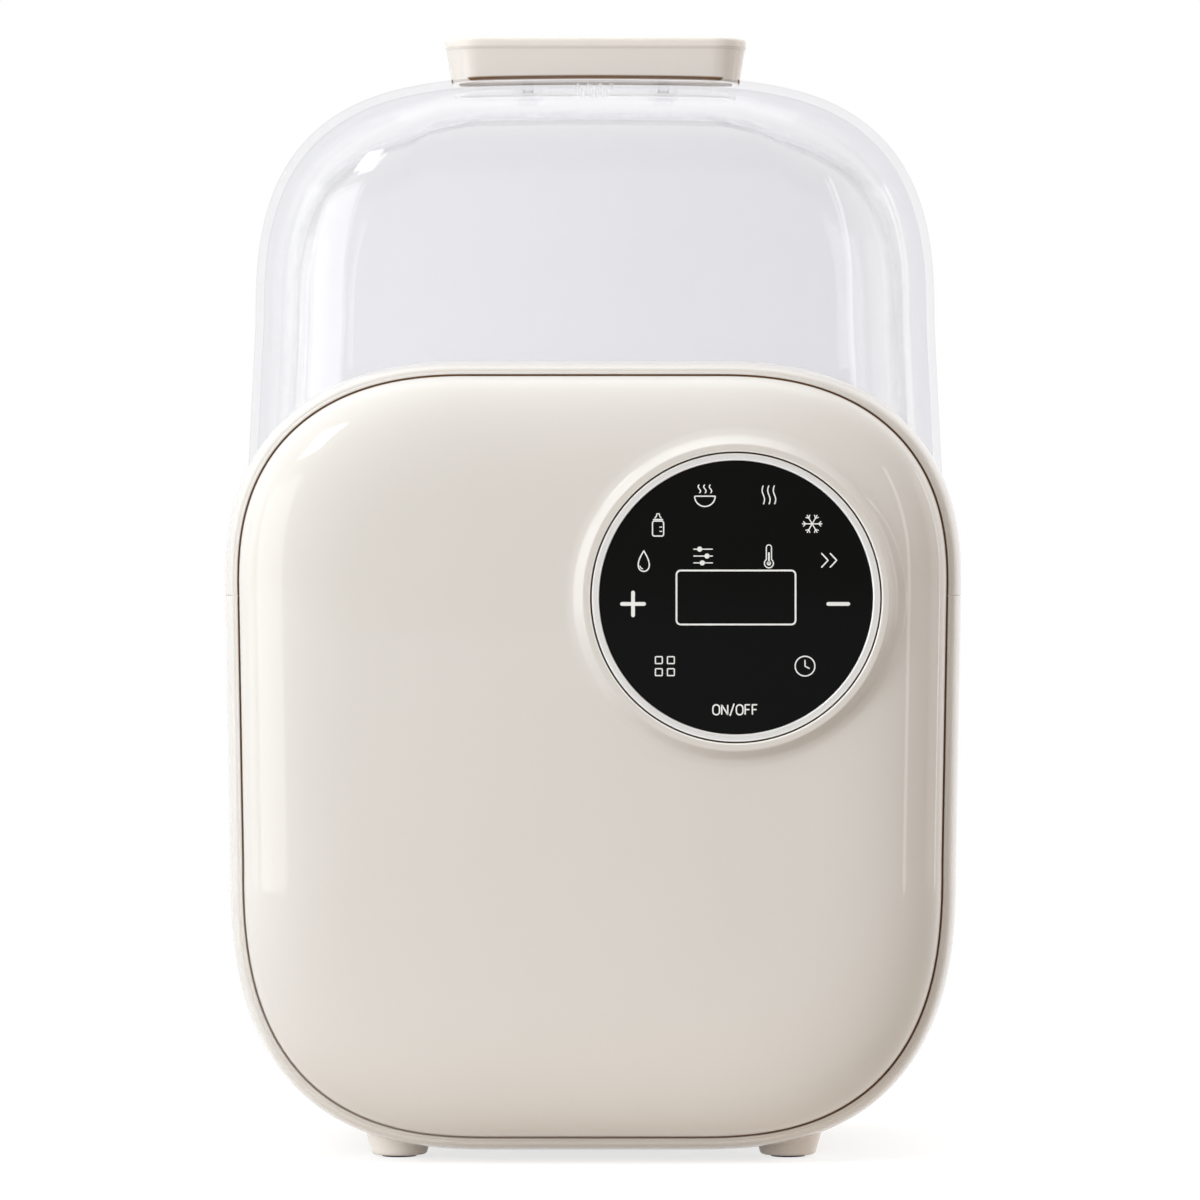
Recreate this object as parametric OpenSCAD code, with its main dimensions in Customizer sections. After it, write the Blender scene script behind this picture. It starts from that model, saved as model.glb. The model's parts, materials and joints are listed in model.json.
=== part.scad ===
// Bottle warmer and steam sterilizer. A pillow-fronted body carries a round touch dial; behind the front
// stands a clear lift-off lid over a water tub with a heating plate and a lift-out bottle basket.
// Millimetres. The front faces -Y, up is +Z, the origin is on the table under the middle of the part.

/* [Body] */
// Width of the body at its widest
body_w = 209.6; // [200:0.2:220]
// Depth from the dial lip to the back face
body_d = 165; // [160:1:185]
// Height of the underside above the table
underside_z = 2.4; // [1.6:0.2:5]
// Height of the crest of the front above the table
crest_z = 227; // [224:0.5:238]
// How far the parting line lies below the upper corners
parting_drop = 3.5; // [2:0.5:12]
// Width of the upper corners seen from the front
top_a = 70; // [64:1:80]
// Height of the upper corners seen from the front
top_b = 63.5; // [60:0.5:66]
// Squareness of the upper corners, 2 is an ellipse
top_n = 2.4; // [2:0.05:3]
// Width of the lower corners seen from the front
bottom_a = 76; // [64:0.5:80]
// Height of the lower corners seen from the front
bottom_b = 82.5; // [70:0.5:88]
// Squareness of the lower corners
bottom_n = 2.66; // [2:0.02:3]
// How far each side draws in on its way down
side_taper = 1.4; // [0:0.05:3]
// Wall of the moulded housings
wall = 2.6; // [2:0.1:3.2]
// Radius of the edge round the back face
back_r = 25; // [18:1:30]
// Width of the flat land on the front of the rim
rim_land = 1.4; // [1:0.1:2]
// Width of the rounding outside that land
rim_w = 3.2; // [2:0.1:4]
// Depth over which the rim rounds back to full width
rim_d = 20; // [12:0.5:21]
// Depth of the upper back cover behind the seam
upper_d = 28; // [27:0.5:32]
// Radius of the back edge of the upper back cover
upper_r = 6; // [3:0.5:6]

/* [Front cover] */
// Gap of the seam round the front cover
seam_gap = 0.4; // [0.3:0.1:0.8]
// Wall of the front cover
cover_wall = 2.4; // [2:0.1:3]
// Depth of the pillow from its edge to its flat
pillow_d = 14.5; // [12:0.5:16]
// Width over which the pillow rounds into its flat
pillow_w = 40; // [30:1:50]
// Length of the cover skirt behind the seam
cover_skirt = 7; // [5:0.5:9]

/* [Dial] */
// Dial centre right of the middle
dial_x = 40.2; // [36:0.2:44]
// Dial centre below the parting line
dial_drop = 0.5; // [0:0.5:6]
// Radius of the black touch panel
panel_r = 38.1; // [34:0.1:39]
// Thickness of the touch panel
panel_t = 2; // [1.5:0.1:2.5]
// Width of the bright ring round the panel
ring_w = 2.3; // [1.5:0.1:3]
// How far the ring stands in front of the panel
ring_proud = 0.5; // [0.3:0.1:0.8]
// How far the ring lies behind the lip
ring_drop = 0.4; // [0.2:0.1:0.8]
// Clearance round the ring and round the panel
dial_fit = 0.2; // [0.1:0.05:0.4]
// Width of the lip round the ring
lip_w = 2.6; // [2:0.1:3]
// How far the lip stands in front of the flat
lip_proud = 2.5; // [2:0.1:3.5]
// Width of the flank that falls from the lip to the cover
flank_w = 3.4; // [2.5:0.1:4]
// Width of the ledge that carries ring and panel
ledge_w = 5; // [4:0.2:7]

/* [Lid] */
// How far the foot of the lid stays inside the side of the body
lid_inset = 1.5; // [1.2:0.1:4]
// Height of the top of the lid above the table
lid_top_z = 312; // [304:1:324]
// Wall of the lid
lid_wall = 2.4; // [2:0.1:3]
// How far each side of the lid draws in from its foot to its shoulder
lid_draft = 3.9; // [2:0.1:5]
// Half width of the flat top of the lid
cap_hx = 25.5; // [25:0.5:40]
// Height of the rounded shoulder at the sides
shoulder_z = 72.5; // [64:0.5:80]
// Squareness of that shoulder
shoulder_n = 2.75; // [2.2:0.05:3.2]
// Half depth of the flat top of the lid
cap_hy = 21; // [18:0.5:28]
// How far front and back of the lid draw in up to their shoulder
lid_draft_y = 1; // [0.5:0.1:2]
// Squareness of the front and back shoulder
shoulder_yn = 2.4; // [2:0.1:3]
// Radius of the upright corners of the lid
lid_corner = 38; // [30:1:44]
// Gap between upper back cover and lid
lid_gap = 2.5; // [1.5:0.1:4]
// How far the lid stays in front of the back face
lid_setback = 3.5; // [2.5:0.1:6]
// Air under the foot of the lid
seat_gap = 0.2; // [0.1:0.05:0.3]
// Depth to which the lid skirt hangs into the tub
skirt_h = 6; // [4:0.5:7]
// Thickness of the lid skirt
skirt_t = 1.6; // [1.2:0.1:2]
// Clearance between lid skirt and tub mouth
skirt_fit = 0.6; // [0.4:0.1:0.7]
// Radius of each steam vent
vent_r = 0.6; // [0.5:0.1:1]
// Distance between steam vents
vent_pitch = 3.2; // [2.8:0.1:4]

/* [Handle] */
// Length of the lid handle along its top
handle_l = 89; // [80:1:96]
// Height of the lid handle
handle_h = 12.2; // [10:0.2:16]
// Depth of the lid handle along its top
handle_d = 27; // [22:1:34]
// How far the handle draws in on each side towards its foot
handle_flare = 2; // [1:0.1:3]
// Distance between the two handle screws
handle_pitch = 40; // [34:1:42]

/* [Tub] */
// Wall of the tub
tub_wall = 2; // [1.6:0.1:2.4]
// Height of the tub floor above the table
tub_floor_z = 64; // [60:1:68]
// Thickness of the flange round the tub mouth
flange_t = 2.6; // [2:0.1:3.2]
// Clearance round the flange and between tub and housing
tub_fit = 0.3; // [0.2:0.05:0.5]
// Depth of the wide mouth of the tub
mouth_h = 9; // [8:0.5:14]
// Width of the step under the mouth
mouth_step = 4.6; // [3:0.2:8]
// How far the tub wall draws in on its way down
tub_draft = 3; // [1:0.2:5]
// Radius of the edge round the tub floor
tub_r = 10; // [8:0.5:12]

/* [Heater] */
// Clearance between the retaining ring and the partition
retainer_gap = 1.4; // [1:0.1:3]
// Width of the retaining ring outside its screws
retainer_edge = 4.5; // [4:0.1:5]
// Distance from the plate flange to the heater screws
plate_screw = 5; // [4.5:0.1:6]
// Thickness of the flange of the heating plate
plate_t = 3; // [2:0.2:4]
// Width of the plate flange outside the bare top
plate_flange = 7; // [6:0.5:8]
// Thickness of the plate seal
seal_t = 2; // [1.5:0.1:3]
// How far the heating element loop lies inside the bare top of the plate
element_in = 11; // [9:0.5:13]
// Radius of the heating element tube
element_r = 3.3; // [2.5:0.1:3.6]
// Thickness of the retaining ring
retainer_t = 1.5; // [1:0.1:2]
// Distance of fuse and sensor from the heating element
sensor_gap = 4; // [4:0.1:4.4]

/* [Basket] */
// Clearance between basket and tub at front and back
basket_gap = 2.8; // [2:0.1:6]
// Clearance between basket and tub at the sides
basket_side = 4.1; // [3:0.1:8]
// Gap between the two bottle wells
well_gap = 3.6; // [2:0.1:8]
// Wall and floor of the basket
basket_wall = 2.2; // [1.8:0.1:2.6]
// Height of the basket floor over the tub floor
basket_leg = 9; // [7:0.5:14]
// Height of the basket wall
basket_h = 42; // [34:1:56]
// Height of the top of the grip above the table
grip_z = 192; // [176:1:196]
// Outer radius of the grip loop
grip_r = 15; // [13:0.5:17]
// Width of the grip loop band
grip_band = 4.5; // [4:0.1:5.5]
// Thickness of the grip
grip_t = 5; // [4:0.2:5.4]
// Width of the grip post
grip_w = 12; // [10:0.5:14]
// Width of the bridge between the wells
bridge_w = 24; // [20:1:30]
// Radius of the steam hole in the middle of a well
steam_r = 9; // [7:0.5:10]
// Radius of the steam holes round it
ring_hole_r = 6; // [4:0.5:6.5]
// Width of the slots in the wall of a well
slot_w = 10; // [8:0.5:11]
// Height left under and over those slots
slot_edge = 9; // [7:0.5:12]
// Radius of a basket leg at its top
leg_r = 4; // [3:0.2:5]
// How far the legs stand inside the wall of a well
leg_in = 10; // [8:0.5:12]

/* [Electronics] */
// Thickness of the circuit boards
board_t = 1.6; // [1.2:0.1:2]
// Radius of the touch board
board_r = 41.5; // [40:0.5:42]
// Height of the posts that carry the touch board
board_post = 3; // [2:0.2:4]
// Width of the display module
display_w = 33.3; // [28:0.1:36]
// Height of the display module
display_h = 15.1; // [12:0.1:18]
// Width of the power board
power_w = 84; // [76:1:90]
// Height of the power board
power_h = 62; // [54:1:66]
// Standoff of the power board from the partition
power_post = 4; // [3:0.2:6]
// Centre of the power board left of the middle
power_x = 36; // [30:1:40]
// Centre of the power board above the table
power_z = 86; // [82:1:90]
// Width of the plugs of the ribbon
plug_w = 16; // [14:0.5:18]
// Height of the plugs of the ribbon
plug_h = 6; // [5:0.5:7]
// Width of the ribbon
ribbon_w = 12; // [10:0.5:13]
// Thickness of the ribbon
ribbon_t = 1; // [0.8:0.1:1.2]
// Width of the transformer core
core_w = 24; // [20:1:26]
// Depth of the transformer core
core_d = 17; // [14:0.5:18]
// Height of the transformer core
core_h = 20; // [18:0.5:22]
// How far the winding stands out of the core
coil_out = 2; // [1:0.5:3]
// How far the winding stays inside the width of the core
coil_in = 3; // [2:0.5:4]
// Width and depth of the relay
relay_w = 15; // [13:0.5:16]
// Height of the relay
relay_h = 19; // [17:0.5:20]
// Radius of the capacitor
capacitor_r = 6; // [5:0.5:7]
// Height of the capacitor
capacitor_h = 18; // [14:0.5:20]
// Distance between the terminals
terminal_pitch = 8; // [7:0.5:8.5]
// Depth of the terminal block
terminal_d = 12; // [11:0.5:13]
// Height of the terminal block
terminal_h = 10; // [9:0.5:11]
// Mains inlet right of the middle
inlet_x = 30; // [20:1:36]
// Mains inlet above the table
inlet_z = 40; // [34:1:46]
// Depth of the inlet socket
socket_d = 11; // [9:0.5:13]
// Radius of the round ends of the inlet socket
socket_r = 4.4; // [4.2:0.1:5]
// Distance between the inlet pins
pin_pitch = 8.6; // [8.4:0.1:9]
// Radius of the inlet pins
pin_r = 1.2; // [1:0.05:1.3]

/* [Feet] */
// Distance between left and right feet
foot_pitch = 111; // [100:1:116]
// Distance between front and back feet
foot_pitch_y = 89; // [84:1:94]
// Radius of a foot at its top
foot_top_r = 10.3; // [9:0.1:10.8]
// Radius of a foot at its bottom
foot_bottom_r = 7.8; // [7:0.1:8.4]
// Height of a foot
foot_h = 9; // [8:0.5:10]
// Length of the peg that holds a foot
peg_l = 14; // [12:0.5:16]
// Radius of the rubber pad under a foot
pad_r = 5; // [4:0.1:5.5]
// How far the pad stands out of the foot
pad_proud = 0.6; // [0.4:0.1:1]
// Radius of the peg that holds a foot
peg_r = 3; // [2.5:0.1:3.5]
// Width of the bottom cover
hatch_w = 62; // [54:1:64]
// Length of the bottom cover
hatch_l = 84; // [76:1:86]

/* [Fasteners] */
// Radius of a screw shank
screw_r = 1.5; // [1.2:0.1:1.8]
// Radius of a screw head
head_r = 2.8; // [2.4:0.1:3.1]
// Height of a screw head
head_h = 1.8; // [1.4:0.1:2.2]
// Length of a screw shank
screw_l = 9; // [8:0.5:10]
// Clearance round a screw shank
screw_fit = 0.15; // [0.1:0.05:0.3]
// Radius of a screw post
post_r = 4; // [3.5:0.1:4.4]

/* [Hidden] */
$fn = 48;

// Planes of depth
y_lip = -body_d / 2;
y_back = body_d / 2;
y_flat = y_lip + lip_proud;
y_seam = y_flat + pillow_d;
y_upper = y_seam + upper_d;
y_lid_front = y_upper + lid_gap;
y_lid_back = y_back - lid_setback;
y_mid = (y_lid_front + y_lid_back) / 2;
lid_hy = (y_lid_back - y_lid_front) / 2;

// Corner centres of the body outline
half_w = body_w / 2;
lid_hx = half_w - lid_inset;
top_cz = crest_z - top_b;
parting_z = top_cz - parting_drop;
top_cx = half_w - top_a;
bottom_cz = underside_z + bottom_b;
bottom_cx = half_w - side_taper - bottom_a;
steps = 11;

// Offsets from the body outline
rim_off = -(rim_w + rim_land);
cover_off = rim_off - seam_gap;

// Partition between the electronics and the tub
part_y = y_upper;
part_back = part_y + wall;
flange_y = y_lid_front - 0.9;
flange_z = parting_z - flange_t;

// Tub, all taken inwards from the foot of the lid
mouth_off = -(lid_wall + 1);
skirt_off = mouth_off - skirt_fit;
tub_top_off = mouth_off - mouth_step;
tub_low_off = tub_top_off - tub_draft;
tub_under = tub_floor_z - tub_wall;
tub_hx = lid_hx + tub_low_off;
tub_hy = lid_hy + tub_low_off;

// Heater stack under the tub floor
plate_under = tub_under - seal_t - plate_t;
heater_pcd = y_mid - part_back - retainer_gap - retainer_edge;
plate_out = heater_pcd - plate_screw;
plate_r = plate_out - plate_flange;
element_loop = plate_r - element_in;
sensor_x = element_loop + element_r + sensor_gap;
hole_r = plate_r + 1;
retainer_under = plate_under - retainer_t;

// Basket
basket_z = tub_floor_z + seat_gap + basket_leg;
basket_out = min(tub_hy - basket_gap, (tub_hx - basket_side - well_gap / 2) / 2);
well_r = basket_out - basket_wall;
well_x = tub_hx - basket_side - basket_out;
well_pitch = 2 * well_x;
grip_c = grip_z - grip_r;

// Dial stack, measured as distance in front of the middle plane
dial_z = parting_z - dial_drop;
d_lip = -y_lip;
d_ring = d_lip - ring_drop;
d_panel = d_ring - ring_proud;
d_ledge = d_panel - panel_t;
d_seat = d_ledge - cover_wall;
ring_r = panel_r + dial_fit + ring_w;
recess_r = ring_r + dial_fit;
lip_r = recess_r + lip_w;
boss_r = lip_r + flank_w;
ledge_r = panel_r - ledge_w;
d_board = d_seat - board_post;
y_board_back = -d_board + board_t;

// Power board
y_power_back = part_y - power_post;
y_power = y_power_back - board_t;

// Screw places
cover_x = 60;
cover_low_z = 36;
cover_high_x = 50;
cover_high_z = crest_z - 20;
tub_post_x = tub_hx - 26.3;
tub_post_y = tub_hy - 12;
tub_post_z = tub_under - 12;
hatch_y = (part_back + y_back - back_r) / 2;
hatch_t = 2.4;
hatch_sink = 1.5;
hatch_land = 8;
foot_y = (y_back + y_seam) / 2 - 7;

function flat(l) = [for (a = l) for (b = a) b];
function rev(l) = [for (i = [len(l) - 1:-1:0]) l[i]];
function ease(u, n) = pow(max(0, 1 - pow(u, n)), 1 / n);

// Quarter of a superellipse from its side end to its top end
function quarter(a, b, n, count = steps) =
    [for (i = [0:count]) let (t = 90 * i / count) [a * pow(cos(t), 2 / n), b * pow(sin(t), 2 / n)]];
function top_corner(o) = [for (p = quarter(top_a + o, top_b + o, top_n)) [top_cx + p[0], top_cz + p[1]]];
function low_corner(o) =
    [for (p = quarter(bottom_a + o, bottom_b + o, bottom_n)) [bottom_cx + p[0], bottom_cz - p[1]]];
function mirrored(l) = [for (p = l) [-p[0], p[1]]];
function side_x(z, o) = half_w + o - side_taper * (top_cz - z) / (top_cz - bottom_cz);

// The body outline at an offset: the half over the parting line, the half under it, and the whole
function upper_path(o) = concat([[side_x(parting_z, o), parting_z]], top_corner(o),
    rev(mirrored(top_corner(o))), [[-side_x(parting_z, o), parting_z]]);
function lower_path(o) = concat([[-side_x(parting_z, o), parting_z]], mirrored(low_corner(o)),
    rev(low_corner(o)), [[side_x(parting_z, o), parting_z]]);
function whole_path(o) = concat(top_corner(o), rev(mirrored(top_corner(o))), mirrored(low_corner(o)),
    rev(low_corner(o)));
function upright(path, y) = [for (p = path) [p[0], y, p[1]]];

// Rounded rectangle seen from above, about the middle of the lid
function plan_loop(hx, hy, r, z, count = 8) = let (
    c = [for (i = [0:count]) r * [cos(90 * i / count), sin(90 * i / count)]])
    concat([for (p = c) [hx - r + p[0], y_mid + hy - r + p[1], z]],
        [for (p = rev(c)) [-hx + r - p[0], y_mid + hy - r + p[1], z]],
        [for (p = c) [-hx + r - p[0], y_mid - hy + r - p[1], z]],
        [for (p = rev(c)) [hx - r + p[0], y_mid - hy + r - p[1], z]]);

// Depth of the pillow at an inset from the edge of the cover
function pillow(i, d, w) = d * pow(1 - pow(1 - min(1, i / w), 3), 1 / 2.2);

// Inset of a point from the body outline, good near the four corners
function inset_top(x, z) = top_b * (1 - pow(
    pow(max(0, abs(x) - top_cx) / top_a, top_n) + pow(max(0, z - top_cz) / top_b, top_n), 1 / top_n));
function inset_low(x, z) = bottom_b * (1 - pow(
    pow(max(0, abs(x) - bottom_cx) / bottom_a, bottom_n)
    + pow(max(0, bottom_cz - z) / bottom_b, bottom_n), 1 / bottom_n));
function cover_y(x, z) = y_seam - pillow(
    min(inset_top(x, z), inset_low(x, z)) + cover_off, pillow_d, pillow_w) + cover_wall / 2;

function strip(m, k, b, closed, flip) = [for (j = [0:m - 2]) for (i = [0:closed ? k - 1 : k - 2])
    let (n = (i + 1) % k, p = b + j * k + i, q = b + j * k + n,
        r = b + (j + 1) * k + n, s = b + (j + 1) * k + i)
    for (t = flip ? [[p, r, q], [p, s, r]] : [[p, q, r], [p, r, s]]) t];

// Cup made of closed loops: capped at the first loop, open at the last
module cup(outer, inner) {
    m = len(outer);
    k = len(outer[0]);
    b = m * k;
    e = (m - 1) * k;
    polyhedron(concat(flat(outer), flat(inner)), concat(
        [[for (i = [k - 1:-1:0]) i]], [[for (i = [0:k - 1]) b + i]],
        strip(m, k, 0, true, false), strip(m, k, b, true, true),
        [for (i = [0:k - 1]) let (n = (i + 1) % k)
            for (t = [[e + i, e + n, b + e + n], [e + i, b + e + n, b + e + i]]) t]));
}

// Solid made of closed loops, capped at both ends
module loaf(rows) {
    m = len(rows);
    k = len(rows[0]);
    polyhedron(flat(rows), concat([[for (i = [k - 1:-1:0]) i]], [[for (i = [0:k - 1]) (m - 1) * k + i]],
        strip(m, k, 0, true, false)));
}

// Tray made of open paths: open at the first path and at the ends of the paths, closed at the last
module tray(outer, inner) {
    m = len(outer);
    k = len(outer[0]);
    b = m * k;
    e = (m - 1) * k;
    polyhedron(concat(flat(outer), flat(inner)), concat(
        [[for (i = [0:k - 1]) e + i]], [[for (i = [k - 1:-1:0]) b + e + i]],
        strip(m, k, 0, false, false), strip(m, k, b, false, true),
        [for (i = [0:k - 2]) for (t = [[i, b + i, b + i + 1], [i, b + i + 1, i + 1]]) t],
        [for (j = [0:m - 2]) let (p = j * k, q = (j + 1) * k) for (t = [[p, q, b + q], [p, b + q, b + p]]) t],
        [for (j = [0:m - 2]) let (p = j * k + k - 1, q = p + k)
            for (t = [[p, b + p, b + q], [p, b + q, q]]) t],
        [[e, e + k - 1, b + e + k - 1], [e, b + e + k - 1, b + e]]));
}

// Round bar along a smooth path through the given points
function catmull(a, b, c, d, t) = 0.5 * (2 * b + (c - a) * t + (2 * a - 5 * b + 4 * c - d) * t * t
    + (3 * b - a - 3 * c + d) * t * t * t);
function smooth(p, n = 5) = concat([for (i = [0:len(p) - 2]) for (j = [0:n - 1])
    catmull(p[max(0, i - 1)], p[i], p[i + 1], p[min(len(p) - 1, i + 2)], j / n)], [p[len(p) - 1]]);
function unit(v) = v / norm(v);
module bar(points, section, across) {
    path = smooth(points);
    n = len(path);
    loaf([for (i = [0:n - 1]) let (
        t = unit(path[min(n - 1, i + 1)] - path[max(0, i - 1)]),
        s = unit(across - (across * t) * t),
        u = cross(t, s)) [for (q = section) path[i] + q[0] * s + q[1] * u]]);
}
function round_section(r, n = 8) = [for (i = [0:n - 1]) r * [cos(360 * i / n), sin(360 * i / n)]];

// Turn a shape drawn upwards along Z so that it points forwards or backwards
module forward(x, y, z) {
    translate([x, y, z])
        rotate([90, 0, 0])
            children();
}
module backward(x, y, z) {
    translate([x, y, z])
        rotate([-90, 0, 0])
            children();
}
module plate(path, y, t) {
    translate([0, y + t, 0])
        rotate([90, 0, 0])
            linear_extrude(t)
                polygon(path);
}
module rounded(hx, hy, r) {
    square([2 * hx, 2 * (hy - r)], center = true);
    square([2 * (hx - r), 2 * hy], center = true);
    for (sx = [-1, 1], sy = [-1, 1])
        translate([sx * (hx - r), sy * (hy - r)])
            circle(r);
}
module lid_plan(o) {
    translate([0, y_mid])
        rounded(lid_hx + o, lid_hy + o, lid_corner + o);
}

// Screw with its shank along +Z and its head below the seat
module screw(l = screw_l) {
    cylinder(r = screw_r, h = l);
    difference() {
        translate([0, 0, -head_h])
            cylinder(r = head_r, h = head_h);
        for (a = [0, 90])
            rotate([0, 0, a])
                translate([-head_r * 0.6, -0.4, -head_h - 1])
                    cube([head_r * 1.2, 0.8, 1.8]);
    }
}
module pilot(l = screw_l) {
    translate([0, 0, -1])
        cylinder(r = screw_r + screw_fit, h = l + 1.5);
}
module head_room(l) {
    translate([0, 0, -l])
        cylinder(r = head_r + 0.4, h = l);
}

module cover_places() {
    for (s = [-1, 1]) {
        forward(s * cover_x, part_back, cover_low_z)
            children();
        forward(s * cover_high_x, y_upper - head_h - 1, cover_high_z)
            children();
    }
}
module tub_places() {
    for (sx = [-1, 1], sy = [-1, 1])
        translate([sx * tub_post_x, y_mid + sy * tub_post_y, 0])
            children();
}
module foot_places() {
    for (sx = [-1, 1], sy = [-1, 1])
        translate([sx * foot_pitch / 2, foot_y + sy * foot_pitch_y / 2, 0])
            children();
}
module hatch_places() {
    for (sx = [-1, 1], sy = [-1, 1])
        translate([sx * (hatch_w - hatch_land) / 2, hatch_y + sy * (hatch_l - hatch_land) / 2, 0])
            children();
}
module heater_places() {
    for (a = [45:90:315])
        translate([heater_pcd * cos(a), y_mid + heater_pcd * sin(a), 0])
            children();
}
module power_places() {
    for (sx = [-1, 1], sz = [-1, 1])
        forward(-power_x + sx * (power_w / 2 - 5), part_y, power_z + sz * (power_h / 2 - 5))
            children();
}
module board_places() {
    for (a = [0, 120, 240])
        forward(dial_x + (board_r - 4) * cos(a + 75), y_board_back, dial_z + (board_r - 4) * sin(a + 75))
            children();
}

// Rows of the housings: the rim, then the plain sides, then the edge round the back
function rim_rows() = [for (t = [0:18:90]) [y_seam + rim_d * (1 - cos(t)), -rim_w * (1 - sin(t))]];
function rim_inner() = [for (i = [0:5]) i < 4
    ? [y_seam + (cover_skirt + 1) * i / 3, rim_off]
    : [y_seam + cover_skirt + 1 + (i - 3) * 3, rim_off + (i - 3) / 2 * (-wall - rim_off)]];
function edge_rows(y, r, o, n) = [for (i = [0:n]) let (t = 90 * i / n)
    [y - r + r * sin(t), o - r * (1 - cos(t))]];
function low_rows(l) = [for (s = l) upright(lower_path(s[1]), s[0])];
function high_rows(l) = [for (s = l) upright(upper_path(s[1]), s[0])];

module base_housing() {
    color("#ece6dc")
    difference() {
        union() {
            tray(low_rows(concat(rim_rows(), edge_rows(y_back, back_r, 0, 6))),
                low_rows(concat(rim_inner(), edge_rows(y_back - wall, back_r - wall, -wall, 6))));
            plate(lower_path(-wall / 2), part_y, wall);
            intersection() {
                plate(lower_path(-wall / 2), part_y, y_back - part_y - wall / 2);
                union() {
                    tub_places()
                        cylinder(r = post_r, h = tub_post_z);
                    translate([-hatch_w / 2 - 3, hatch_y - hatch_l / 2 - 3, 0])
                        cube([hatch_w + 6, hatch_l + 6, underside_z + hatch_t + 3]);
                    hatch_places()
                        cylinder(r = post_r, h = underside_z + hatch_t + screw_l + 1);
                }
            }
            power_places()
                cylinder(r = post_r, h = power_post);
        }
        // Seat of the tub flange
        translate([-half_w - 1, flange_y - tub_fit, flange_z])
            cube([body_w + 2, body_d, flange_t + 1]);
        // Screw ways
        for (s = [-1, 1])
            forward(s * cover_x, part_back + 1, cover_low_z)
                cylinder(r = screw_r + screw_fit, h = wall + 2);
        tub_places() {
            translate([0, 0, tub_post_z - 4])
                pilot(4);
            translate([0, 0, -1])
                cylinder(r = head_r + 0.4, h = tub_post_z - 3);
        }
        hatch_places()
            translate([0, 0, underside_z + hatch_t])
                pilot();
        power_places()
            translate([0, 0, -wall - 1])
                cylinder(r = screw_r + screw_fit, h = power_post + wall + 2);
        // Bottom opening and the recess for its cover
        translate([-hatch_w / 2 + hatch_land, hatch_y - hatch_l / 2 + hatch_land, 0])
            cube([hatch_w - 2 * hatch_land, hatch_l - 2 * hatch_land, underside_z + hatch_t + 8]);
        translate([-hatch_w / 2 - tub_fit, hatch_y - hatch_l / 2 - tub_fit, 0])
            cube([hatch_w + 2 * tub_fit, hatch_l + 2 * tub_fit, underside_z + hatch_t]);
        foot_places()
            cylinder(r = peg_r + 0.1, h = peg_l + 6);
        // Cable way under the partition
        translate([-34, part_y - 1, 14])
            cube([68, wall + 2, 14]);
        // Window for the mains inlet
        translate([inlet_x - inlet_hx - tub_fit, y_back - wall - 1, inlet_z - inlet_hz - tub_fit])
            cube([2 * (inlet_hx + tub_fit), wall + 2, 2 * (inlet_hz + tub_fit)]);
    }
}

module upper_back_cover() {
    color("#efe9e0")
    difference() {
        union() {
            tray(high_rows(concat(rim_rows(), edge_rows(y_upper, upper_r, 0, 4))),
                high_rows(concat(rim_inner(), edge_rows(y_upper - wall, upper_r - wall, -wall, 4))));
            for (s = [-1, 1])
                forward(s * cover_high_x, y_upper - wall / 2, cover_high_z)
                    cylinder(r = post_r + 1, h = head_h + 1 + wall / 2);
        }
        for (s = [-1, 1])
            forward(s * cover_high_x, y_upper - head_h - 1, cover_high_z) {
                head_room(head_h + 2);
                pilot(12);
            }
    }
}

module bottom_cover() {
    color("#d9d3c9")
    difference() {
        translate([0, hatch_y, underside_z])
            linear_extrude(hatch_t)
                rounded(hatch_w / 2, hatch_l / 2, 2);
        for (i = [-3:3])
            translate([-hatch_w / 2 + hatch_land + 4, hatch_y + i * 9 - 1.6, 0])
                cube([hatch_w - 2 * hatch_land - 8, 3.2, 10]);
        hatch_places() {
            cylinder(r = screw_r + screw_fit, h = 10);
            cylinder(r = head_r + 0.4, h = underside_z + hatch_sink);
        }
    }
}

module feet() {
    color("#e6e0d6")
    difference() {
        foot_places() {
            translate([0, 0, pad_proud])
                cylinder(r1 = foot_bottom_r, r2 = foot_top_r, h = foot_h);
            cylinder(r = peg_r, h = peg_l);
        }
        difference() {
            plate(lower_path(0), y_seam, body_d);
            foot_places()
                cylinder(r = peg_r, h = peg_l + 6);
        }
        foot_places()
            translate([0, 0, -1])
                cylinder(r = pad_r, h = pad_proud + 2);
    }
}

module foot_pads() {
    color("#3a3a3c")
    foot_places()
        cylinder(r = pad_r, h = pad_proud + 1);
}

// Front cover: the pillow, the dial boss and the posts behind
cover_count = 13;
function cover_rows(d, w, o) = concat(
    [for (i = [cover_count:-1:0]) let (f = w * pow(i / cover_count, 1.7))
        upright(whole_path(o - f), y_seam - pillow(f, d, w))],
    [upright(whole_path(o), y_seam + cover_skirt)]);

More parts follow.
